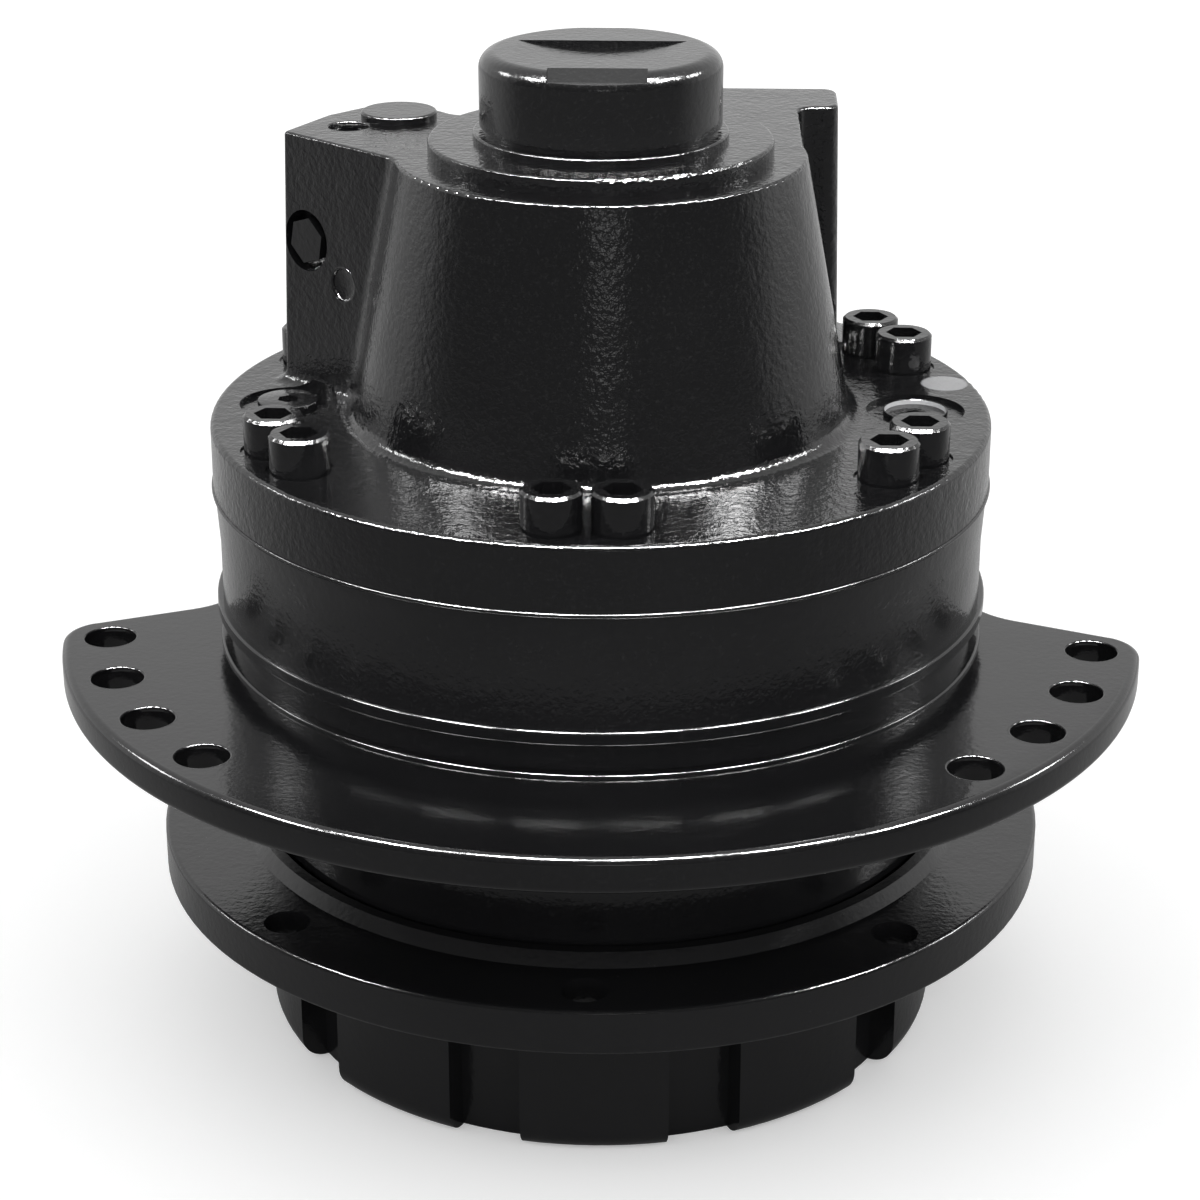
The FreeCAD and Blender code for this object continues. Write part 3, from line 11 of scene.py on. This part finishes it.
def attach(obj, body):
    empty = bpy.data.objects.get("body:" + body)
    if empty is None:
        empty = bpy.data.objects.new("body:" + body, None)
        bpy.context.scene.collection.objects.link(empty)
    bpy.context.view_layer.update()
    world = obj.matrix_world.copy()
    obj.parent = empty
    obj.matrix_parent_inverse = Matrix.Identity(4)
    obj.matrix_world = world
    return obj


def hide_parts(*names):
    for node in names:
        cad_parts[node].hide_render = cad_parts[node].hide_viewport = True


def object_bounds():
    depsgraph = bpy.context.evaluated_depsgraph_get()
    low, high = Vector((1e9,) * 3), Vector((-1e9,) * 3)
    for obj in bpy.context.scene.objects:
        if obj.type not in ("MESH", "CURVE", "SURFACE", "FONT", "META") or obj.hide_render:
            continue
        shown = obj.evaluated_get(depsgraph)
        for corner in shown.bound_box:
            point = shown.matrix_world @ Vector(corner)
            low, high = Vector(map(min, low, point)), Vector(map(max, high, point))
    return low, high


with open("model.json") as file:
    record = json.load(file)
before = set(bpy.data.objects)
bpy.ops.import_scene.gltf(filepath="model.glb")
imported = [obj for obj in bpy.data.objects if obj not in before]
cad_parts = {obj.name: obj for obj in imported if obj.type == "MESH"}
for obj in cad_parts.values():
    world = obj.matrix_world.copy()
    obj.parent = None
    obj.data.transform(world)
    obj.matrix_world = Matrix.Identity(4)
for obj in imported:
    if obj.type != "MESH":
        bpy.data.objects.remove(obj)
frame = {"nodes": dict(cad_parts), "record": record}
cad_box = [list(corner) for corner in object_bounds()]


class Socket:
    """One shader value or colour. Sums, products, powers and comparisons of
    sockets add their Math nodes."""

    def __init__(self, shader, socket):
        self.shader = shader
        self.socket = socket

    def maths(self, operation, *values):
        """One Math node on sockets or numbers."""
        node = self.shader.nodes.new("ShaderNodeMath")
        node.operation = operation
        for slot, value in zip(node.inputs, values):
            self.shader.feed(slot, value)
        return Socket(self.shader, node.outputs[0])

    def __add__(self, other):
        return self.maths("ADD", self, other)

    def __radd__(self, other):
        return self.maths("ADD", other, self)

    def __sub__(self, other):
        return self.maths("SUBTRACT", self, other)

    def __rsub__(self, other):
        return self.maths("SUBTRACT", other, self)

    def __mul__(self, other):
        return self.maths("MULTIPLY", self, other)

    def __rmul__(self, other):
        return self.maths("MULTIPLY", other, self)

    def __pow__(self, other):
        return self.maths("POWER", self, other)

    def __gt__(self, other):
        return self.maths("GREATER_THAN", self, other)

    def ramp(self, low, high):
        """0 below low, 1 above high and smooth between them."""
        node = self.shader.add("ShaderNodeMapRange", {"interpolation_type": "SMOOTHSTEP"},
                               {"Value": self, "From Min": low, "From Max": high})
        return node["Result"]


class Shader:
    """The node tree of one finish."""

    def __init__(self, name, world=None):
        self.owner = world or bpy.data.materials.new(name)
        self.owner.use_nodes = True
        self.nodes = self.owner.node_tree.nodes
        self.links = self.owner.node_tree.links
        self.nodes.clear()

    def feed(self, slot, value):
        """Link a socket, or set a number or a colour."""
        if isinstance(value, Socket):
            self.links.new(value.socket, slot)
        elif value is not None:
            slot.default_value = value

    def add(self, kind, settings=None, inputs=None):
        """Add a node of any type; gives its outputs by name."""
        node = self.nodes.new(kind)
        for key, value in (settings or {}).items():
            setattr(node, key, value)
        for key, value in (inputs or {}).items():
            self.feed(node.inputs[key], value)
        return {output.name: Socket(self, output) for output in node.outputs if output.enabled}

    def place(self):
        """A place on the piece in metres, whole and as its x, y and z."""
        where = self.add("ShaderNodeTexCoord")["Object"]
        parts = self.add("ShaderNodeSeparateXYZ", None, {"Vector": where})
        return where, parts["X"], parts["Y"], parts["Z"]

    def noise(self, where, size, detail=2.0, rough=0.5):
        """Fractal noise between 0 and 1 whose largest grain is size metres."""
        return self.add("ShaderNodeTexNoise", None, {
            "Vector": where, "Scale": 1 / size, "Detail": detail, "Roughness": rough,
        })["Fac"]

    def blend(self, amount, first, second):
        """Mix two colours by an amount."""
        node = self.nodes.new("ShaderNodeMix")
        node.data_type = "RGBA"
        self.feed(node.inputs[0], amount)
        self.feed(node.inputs[6], first)
        self.feed(node.inputs[7], second)
        return Socket(self, node.outputs[2])

    def bump(self, height, depth, under=None):
        """Relief whose height of 1 stands for depth metres."""
        return self.add("ShaderNodeBump", None, {
            "Height": height, "Distance": depth, "Strength": 1.0, "Normal": under,
        })["Normal"]

    def surface(self, **sockets):
        """The finish itself; names are the Principled sockets with _ for a space."""
        names = {key.replace("_", " "): value for key, value in sockets.items()}
        shader = self.add("ShaderNodeBsdfPrincipled", None, names)["BSDF"]
        self.add("ShaderNodeOutputMaterial", None, {"Surface": shader})
        return self.owner


COVER_SPOT_FLOOR = 0.1455
BLACK = (0.0045, 0.0045, 0.005, 1)
DUSTY = (0.024, 0.024, 0.025, 1)
PRIMER = (0.33, 0.33, 0.34, 1)
STEEL = (0.56, 0.56, 0.58, 1)


def black_paint(name, gloss, cast, peel, spot=None):
    """Black paint. gloss is its least roughness, cast the depth of the casting's
    grain under it, peel the depth of the orange peel, and spot a round bare
    place on the cover's flange, as (x, y, radius)."""
    shader = Shader(name)
    where, x, y, z = shader.place()
    grain = shader.noise(where, 0.0021, 2.0, 0.6)
    lumps = shader.noise(where, 0.013, 2.0)
    orange = shader.noise(where, 0.0016, 1.0, 0.4)
    dust = shader.noise(where, 0.0009, 2.0, 0.6).ramp(0.50, 0.80)
    cloud = shader.noise(where, 0.06, 3.0)
    colour = shader.blend(dust * 0.3 + cloud * 0.25, BLACK, DUSTY)
    relief = shader.bump(grain * 0.9 + lumps, cast, shader.bump(orange, peel))
    rough = gloss + dust * 0.12 + cloud * 0.05
    if spot:
        spot_x, spot_y, radius = spot
        edge = 0.0006
        away = ((x - spot_x) ** 2 + (y - spot_y) ** 2) ** 0.5
        bare = 1 - away.ramp(radius - edge, radius + edge)
        colour = shader.blend(bare * (z > COVER_SPOT_FLOOR), colour, PRIMER)
        rough = rough + bare * 0.35
    return shader.surface(Base_Color=colour, Roughness=rough, Normal=relief, IOR=1.5)


def bare_steel(name, colour, rough, grain=0.00001, metallic=1.0):
    """Ground or machined metal with fine scratches round the shaft axis: noise
    that changes only with the radius and the height."""
    shader = Shader(name)
    where, x, y, z = shader.place()
    radius = (x ** 2 + y ** 2) ** 0.5
    per_metre = 3000
    lines = shader.add("ShaderNodeCombineXYZ", None,
                       {"X": radius * per_metre, "Y": z * per_metre, "Z": 0.0})
    scratch = shader.add("ShaderNodeTexNoise", None, {
        "Vector": lines["Vector"], "Scale": 1.0, "Detail": 2.0, "Roughness": 0.5})["Fac"]
    oil = shader.noise(where, 0.012, 3.0)
    darker = tuple(channel * 0.7 for channel in colour[:3]) + (1,)
    return shader.surface(Base_Color=shader.blend(oil, colour, darker),
                          Roughness=rough + scratch * 0.12, Metallic=metallic,
                          Normal=shader.bump(scratch, grain))


def primer_coat(name):
    """Pale primer that the black paint has missed."""
    shader = Shader(name)
    where = shader.place()[0]
    speck = shader.noise(where, 0.0012, 3.0)
    return shader.surface(Base_Color=shader.blend(speck, (0.42, 0.42, 0.43, 1),
                                                  (0.56, 0.56, 0.57, 1)),
                          Roughness=0.4 + speck * 0.2, Normal=shader.bump(speck, 0.00002))


def soft_rubber(name):
    """Dull black seal rubber."""
    shader = Shader(name)
    where = shader.place()[0]
    speck = shader.noise(where, 0.0008, 3.0)
    return shader.surface(Base_Color=shader.blend(speck, (0.012, 0.012, 0.012, 1),
                                                  (0.03, 0.03, 0.03, 1)),
                          Roughness=0.5 + speck * 0.2, Normal=shader.bump(speck, 0.00002))


BARE_SPOT = (0.1079, 0.0264, 0.0073)

finishes = {
    "casting": black_paint("black paint on the cover", 0.09, 0.00026, 0.00003, BARE_SPOT),
    "support": black_paint("black paint on the ears", 0.09, 0.00005, 0.00002),
    "forging": black_paint("black paint on the forging", 0.13, 0.00010, 0.00002),
    "turned": black_paint("black paint on turned pieces", 0.13, 0.00012, 0.00003),
    "screw": black_paint("black paint on screws", 0.10, 0.00012, 0.00003),
    "primer": primer_coat("bare primer"),
    "bearing": bare_steel("bearing steel", STEEL, 0.12),
    "ground": bare_steel("ground steel", (0.46, 0.46, 0.48, 1), 0.22),
    "iron": bare_steel("machined iron", (0.2, 0.2, 0.21, 1), 0.34),
    "lining": bare_steel("brake lining", (0.16, 0.11, 0.08, 1), 0.6, 0.00004, 0.3),
    "spring": bare_steel("oiled spring steel", (0.2, 0.2, 0.22, 1), 0.25),
    "rubber": soft_rubber("seal rubber"),
}

BY_SLOT = {
    "bearing_steel": "bearing",
    "ground_steel": "ground",
    "cast_iron": "iron",
    "brake_lining": "lining",
    "spring_steel": "spring",
    "seal_rubber": "rubber",
}

BY_NODE = {
    "valve_cover": "casting",
    "bearing_support": "support",
    "output_hub": "forging",
    "cam_ring": "turned",
    "end_cap": "turned",
    "arm_cap": "turned",
    "arm_plug": "screw",
    "spool_plug": "screw",
    "small_plug": "screw",
    "bleed_plugs": "screw",
    "cover_screws": "screw",
}

SLOT_OF = {entry["node"]: entry["material_slot"] for entry in frame["record"]["subparts"]}


def smooth(piece, sharp):
    """Join a piece's faces and shade them smooth, but for edges over sharp degrees."""
    weld = piece.modifiers.new("Weld", "WELD")
    weld.merge_threshold = 0.000002
    piece.data.shade_smooth()
    split = piece.modifiers.new("Edges", "EDGE_SPLIT")
    split.split_angle = math.radians(sharp)


def dress(name, finish):
    """Give a CAD node its finish. Its flat faces stay flat beside rounded edges."""
    node = frame["nodes"][name]
    node.data.materials.clear()
    node.data.materials.append(finish)
    smooth(node, 24)
    even = node.modifiers.new("Flats stay flat", "WEIGHTED_NORMAL")
    even.keep_sharp = True


for node_name in frame["nodes"]:
    finish = BY_NODE.get(node_name) or BY_SLOT[SLOT_OF[node_name]]
    dress(node_name, finishes[finish])


def skin(name, points, finishes_used, picks=None, closed=(False, False)):
    """A piece of the motor's case from a grid of points in millimetres, rows by
    columns. closed says whether the last row or column joins the first, and
    picks gives the finish of each band of faces between two rows. A tube, closed
    over its rows only, has each end drawn together at its middle."""
    if closed == (True, False):
        ends = [np.broadcast_to(points[:, end].mean(0), points[:, :1].shape) for end in (0, -1)]
        points = np.concatenate([ends[0], points, ends[1]], 1)
    rows, columns = points.shape[:2]
    row = np.arange(rows - (not closed[0]))[:, None]
    column = np.arange(columns - (not closed[1]))[None, :]
    row_on, column_on = (row + 1) % rows, (column + 1) % columns
    corners = [row * columns + column, row * columns + column_on,
               row_on * columns + column_on, row_on * columns + column]
    faces = np.stack(np.broadcast_arrays(*corners), -1).reshape(-1, 4)
    mesh = bpy.data.meshes.new(name)
    mesh.from_pydata((points.reshape(-1, 3) / 1000).tolist(), [], faces.tolist())
    for finish in finishes_used:
        mesh.materials.append(finishes[finish])
    if picks is not None:
        indices = np.broadcast_to(np.asarray(picks)[:, None], (row.size, column.size))
        mesh.polygons.foreach_set("material_index", indices.reshape(-1).astype(np.int32))
    piece = bpy.data.objects.new(name, mesh)
    bpy.context.collection.objects.link(piece)
    smooth(piece, 40)
    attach(piece, "motor_case")
    return piece


def arc(centre, radius, start, end, steps=6):
    """Points of an arc about a centre: centre + radius (cos a, sin a)."""
    angle = np.radians(np.linspace(start, end, steps))
    return [(centre[0] + radius * math.cos(a), centre[1] + radius * math.sin(a)) for a in angle]


def revolved(profile, centre, side, up, steps=96, hexagon=()):
    """A profile of (radius, height) turned about an axis: the point at angle a is
    centre + radius (side cos a + across sin a) + height up. Rows named in hexagon
    have the radius of a hexagon instead: radius / cos(b), where b is the angle
    from the middle of the nearest flat."""
    side, up = np.array(side, float), np.array(up, float)
    across = np.cross(up, side)
    angle = np.linspace(0, 2 * np.pi, steps, endpoint=False)
    round_way = side * np.cos(angle)[:, None] + across * np.sin(angle)[:, None]
    from_flat = (angle + np.pi / 6) % (np.pi / 3) - np.pi / 6
    profile = np.array(profile, float)
    radius = np.repeat(profile[:, :1], steps, 1)
    for row in hexagon:
        radius[row] /= np.cos(from_flat)
    return (np.array(centre, float) + radius[:, :, None] * round_way
            + profile[:, 1][:, None, None] * up)


EAR_TOP, EAR_FOOT = 77.4, 66.4
EAR_REACH, EAR_ROUND = 169.5, 2.6
EAR_CORNER, EAR_CORNER_AT = 13.0, (155.04, -21.33)
EAR_HOLE, EAR_HOLES_OUT = 8.5, 154.7
COVER_FOOT, TOWER_TOP, CAP_TOP = 128.2, 228.2, 259.3
AXIS_X, AXIS_Z = (1, 0, 0), (0, 0, 1)
ARM_SLOPE = math.atan2(33.9, 38.8)
ARM_OUT = (-math.sin(ARM_SLOPE), -math.cos(ARM_SLOPE), 0)
ARM_ALONG = (math.cos(ARM_SLOPE), -math.sin(ARM_SLOPE), 0)


def ear_rim():
    """The paint over the ears' rounded rim: a band that follows the rim from one
    rear corner round the front to the other. Its path is centre + reach
    (cos a, sin a), about the shaft for the long arc and about each ear's own
    centre for its corner, and its section is two quarter rounds."""
    tip = np.array(EAR_CORNER_AT)
    bend = 40
    turn = np.radians(np.concatenate([
        np.linspace(65.8, -7.83, bend),
        np.linspace(-8.2, -171.8, 420),
        np.linspace(-172.17, -245.8, bend),
    ]))
    way = np.stack([np.cos(turn), np.sin(turn)], -1)
    centre = np.zeros_like(way)
    centre[:bend] = tip
    centre[-bend:] = tip * (-1, 1)
    reach = np.full(len(turn), EAR_REACH)
    reach[:bend] = reach[-bend:] = EAR_CORNER
    proud, inner, under = 0.04, -3.6, 0.06
    section = [(inner, EAR_TOP - under)]
    section += arc((-EAR_ROUND, EAR_TOP - EAR_ROUND), EAR_ROUND + proud, 90, 0, 9)
    section += arc((-EAR_ROUND, EAR_FOOT + EAR_ROUND), EAR_ROUND + proud, 0, -90, 9)
    section += [(inner, EAR_FOOT + under)]
    section = np.array(section)
    out = centre[None] + (reach[None, :] + section[:, :1])[:, :, None] * way[None]
    high = np.broadcast_to(section[:, 1][:, None, None], out.shape[:2] + (1,))
    skin("ear_rim", np.concatenate([out, high], -1), ["support"], closed=(True, False))


def lip(name, centre, side, up, radius, width, finish):
    """The paint's rounded lip in a hole: a quarter round that falls into the
    hole and runs back to its wall."""
    profile = [(radius + 0.3, -0.12), (radius + 0.12, 0.03)]
    profile += arc((radius + 0.05, -width), width + 0.03, 90, 180, 7)
    profile += [(radius + 0.05 - width * 0.6, -width * 2), (radius + 0.15, -width * 3.2)]
    skin(name, revolved(profile, centre, side, up), [finish], closed=(True, True))


def on_arm(low, along):
    """A place on the arm's front face, in millimetres below its top and along
    from its tip. The face leans by 1.3 degrees."""
    foot = np.array((-98.9, 23.4, TOWER_TOP - low)) + np.array(ARM_ALONG) * along
    return foot + np.array(ARM_OUT) * low * math.tan(math.radians(1.3))


def painted_holes():
    """Lips in the ear holes and round the arm's plugs, and the small plug's
    painted face, a shallow dish: depth = edge + (1 - (r / radius)^2) sag."""
    for side in (-1, 1):
        for step in range(4):
            turn = math.radians(-90 + side * (63.7 + (step - 1.5) * 12.04))
            centre = (EAR_HOLES_OUT * math.cos(turn), EAR_HOLES_OUT * math.sin(turn), EAR_TOP)
            name = f"ear_lip_{'left' if side < 0 else 'right'}_{step + 1}"
            lip(name, centre, AXIS_X, AXIS_Z, EAR_HOLE, 0.6, "support")
    lip("arm_plug_lip", (-79.4, 30.7, TOWER_TOP), AXIS_X, AXIS_Z, 6.8, 0.6, "casting")
    dish = [(0.0, -1.39), (5.3, -1.39), (5.9, -0.3), (5.6, 0.03)]
    dish += arc((5.5, -0.9), 0.93, 90, 165, 6)
    dish += [(r, -0.75 - 0.5 * (1 - (r / 4.5) ** 2)) for r in (4.2, 3.4, 2.4, 1.2, 0.0)]
    skin("small_plug_face", revolved(dish, on_arm(43.7, 26.5), ARM_ALONG, ARM_OUT), ["casting"],
         closed=(False, True))


def bleed_plug_heads():
    """The two bleed plugs. The right one is a cup whose inner wall the black
    paint has missed."""
    stem = [(0, 135.5), (5.9, 135.5), (5.9, 146.5)]
    left = stem + [(9.5, 146.5), (9.5, 148.9), (9.4, 149.2), (9.1, 149.3),
                   (3, 149.3), (3, 147.3), (0, 147.3)]
    right = stem + [(9.95, 146.5), (9.95, 148.0), (9.85, 148.2), (9.6, 148.2), (9.5, 148.1),
                    (9.4, 146.75), (3, 146.75), (3, 145.2), (0, 145.2)]
    across = 97.2
    bare_wall = 7
    picks = [int(band == bare_wall) for band in range(len(right) - 1)]
    for piece in (
        skin("bleed_plug_left", revolved(left, (-across, 0, 0), AXIS_X, AXIS_Z, hexagon=(7, 8)),
             ["screw"], closed=(False, True)),
        skin("bleed_plug_right", revolved(right, (across, 0, 0), AXIS_X, AXIS_Z, hexagon=(9, 10)),
             ["screw", "primer"], picks, closed=(False, True)),
    ):
        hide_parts("bleed_plugs")


def seam_bead():
    """The bead of paint in the seam between the cover and the cam ring."""
    section = arc((120.05, COVER_FOOT - 0.85), 0.75, 0, 330, 12)
    skin("seam_bead", revolved(section, (0, 0, 0), AXIS_X, AXIS_Z, 360), ["turned"],
         closed=(True, True))


def drawn(name, x, section):
    """A piece of the end cap whose section of (y, z) is drawn along x. Each z may
    change with x."""
    rows = [np.stack([x, np.full_like(x, y), x * 0 + z], -1) for y, z in section]
    skin(name, np.stack(rows), ["turned"], closed=(True, False))


def slot_floor():
    """The painted floor of the end cap's wide slot, a shallow arc from one end
    of the slot to the other: depth = 2.1 (1 - (x / half)^2)."""
    half, wide = 25.4, 12.45
    x = np.linspace(-half, half, 60)
    bow = 1 - (x / half) ** 2
    floor, under = CAP_TOP - 2.1 * bow, CAP_TOP - 4.4 * bow - 0.2
    drawn("slot_floor", x, [(-wide, floor), (wide, floor), (wide, under), (-wide, under)])


def notch_ramp():
    """The paint that fills the corner of the end cap's front notch, so that the
    notch falls away from the top in a slope."""
    front, back, foot = -32.0, -25.55, 256.4
    drawn("notch_ramp", np.linspace(-14.45, 14.45, 12),
          [(front, 256.62), (back, 259.28), (back, foot), (front, foot)])


ear_rim()
seam_bead()
notch_ramp()
slot_floor()
painted_holes()
bleed_plug_heads()


def studio_floor():
    """A flat floor under the hub. It is pale, keeps the motor's soft shadow and shows near white
    to the camera. To the paint's reflections it carries painted shade, grey and darker towards the
    front."""
    size = 4.0
    foot = cad_box[0][2]
    mesh = bpy.data.meshes.new("floor")
    mesh.from_pydata([(-size, -size, foot), (size, -size, foot), (size, size, foot),
                      (-size, size, foot)], [], [(0, 1, 2, 3)])
    floor = bpy.data.objects.new("floor", mesh)
    bpy.context.collection.objects.link(floor)
    shader = Shader("pale floor")
    ray = shader.add("ShaderNodeLightPath")
    y = shader.place()[2]
    # painted shade: to reflections and diffuse light the floor is grey, 0.22 at the front up to
    # 0.62 behind, standing for a dark room in front; the camera sees 0.90
    mirrored = shader.blend(y.ramp(-0.4, 0.5), (0.22, 0.22, 0.22, 1), (0.62, 0.62, 0.62, 1))
    shade = shader.blend(ray["Is Camera Ray"], mirrored, (0.90, 0.90, 0.90, 1))
    matt = shader.add("ShaderNodeBsdfDiffuse", None, {"Color": shade})["BSDF"]
    seen = shader.add("ShaderNodeEmission", None,
                      {"Color": (1, 1, 1, 1), "Strength": ray["Is Camera Ray"] * 0.28})["Emission"]
    both = shader.add("ShaderNodeAddShader")
    joined = shader.nodes[-1]
    shader.feed(joined.inputs[0], matt)
    shader.feed(joined.inputs[1], seen)
    shader.add("ShaderNodeOutputMaterial", None, {"Surface": both["Shader"]})
    mesh.materials.append(shader.owner)


def studio_light():
    """A world that is white behind the motor and dark in front of it as the paint
    mirrors it, and lamps overhead that put the bright dashes on rounded edges."""
    world = bpy.data.worlds.new("studio")
    bpy.context.scene.world = world
    shader = Shader("studio", world)
    ray = shader.add("ShaderNodeLightPath")
    way = shader.add("ShaderNodeTexCoord")["Generated"]
    behind = shader.add("ShaderNodeSeparateXYZ", None, {"Vector": way})["Y"].ramp(-0.25, 0.35)
    mirrored = ray["Is Glossy Ray"]
    level = mirrored * (0.13 + 0.80 * behind) + (1 - mirrored) * (1.35 - 0.75 * behind)
    seen = ray["Is Camera Ray"]
    back = shader.add("ShaderNodeBackground", None, {
        "Color": (1, 1, 1, 1), "Strength": seen + (1 - seen) * level})["Background"]
    shader.add("ShaderNodeOutputWorld", None, {"Surface": back})
    for x, y, z, wide, long, watts in (
        (-1.02, -0.24, 1.10, 0.40, 0.16, 24),
        (-0.60, -0.36, 1.25, 0.34, 0.16, 60),
        (-0.20, -0.46, 1.35, 0.30, 0.16, 80),
        (0.20, -0.46, 1.35, 0.30, 0.16, 80),
        (0.60, -0.36, 1.25, 0.34, 0.16, 60),
        (1.02, -0.24, 1.10, 0.40, 0.16, 44),
        (-1.38, 0.40, 0.92, 0.36, 0.20, 5),
        (1.38, 0.40, 0.92, 0.36, 0.20, 8),
        (0.14, -1.70, 0.48, 0.34, 0.14, 0.3),
    ):
        data = bpy.data.lights.new("strip", "AREA")
        data.shape = "RECTANGLE"
        data.size, data.size_y = wide, long
        data.energy = watts
        lamp = bpy.data.objects.new("strip", data)
        bpy.context.collection.objects.link(lamp)
        lamp.visible_diffuse = False
        lamp.visible_camera = False
        aim = Vector((0, 0, 0.1)) - Vector((x, y, z))
        turn = aim.to_track_quat("-Z", "Y").to_matrix().to_4x4()
        lamp.matrix_world = Matrix.Translation((x, y, z)) @ turn


def photo_camera():
    """The photograph's camera, found by fitting the motor's round rims."""
    ahead = Vector((-0.0339, 0.9246, -0.3794)).normalized()
    side = ahead.cross(Vector((0, 0, 1))).normalized()
    up = side.cross(ahead)
    turn = Matrix((side, up, -ahead)).transposed()
    data = bpy.data.cameras.new("camera")
    data.sensor_width = 36
    data.lens = 91.716
    camera = bpy.data.objects.new("camera", data)
    bpy.context.collection.objects.link(camera)
    camera.matrix_world = Matrix.Translation((0.0327, -0.8988, 0.4519)) @ turn.to_4x4()
    bpy.context.scene.camera = camera


studio_floor()
studio_light()
photo_camera()
bpy.context.scene.view_settings.view_transform = "Standard"
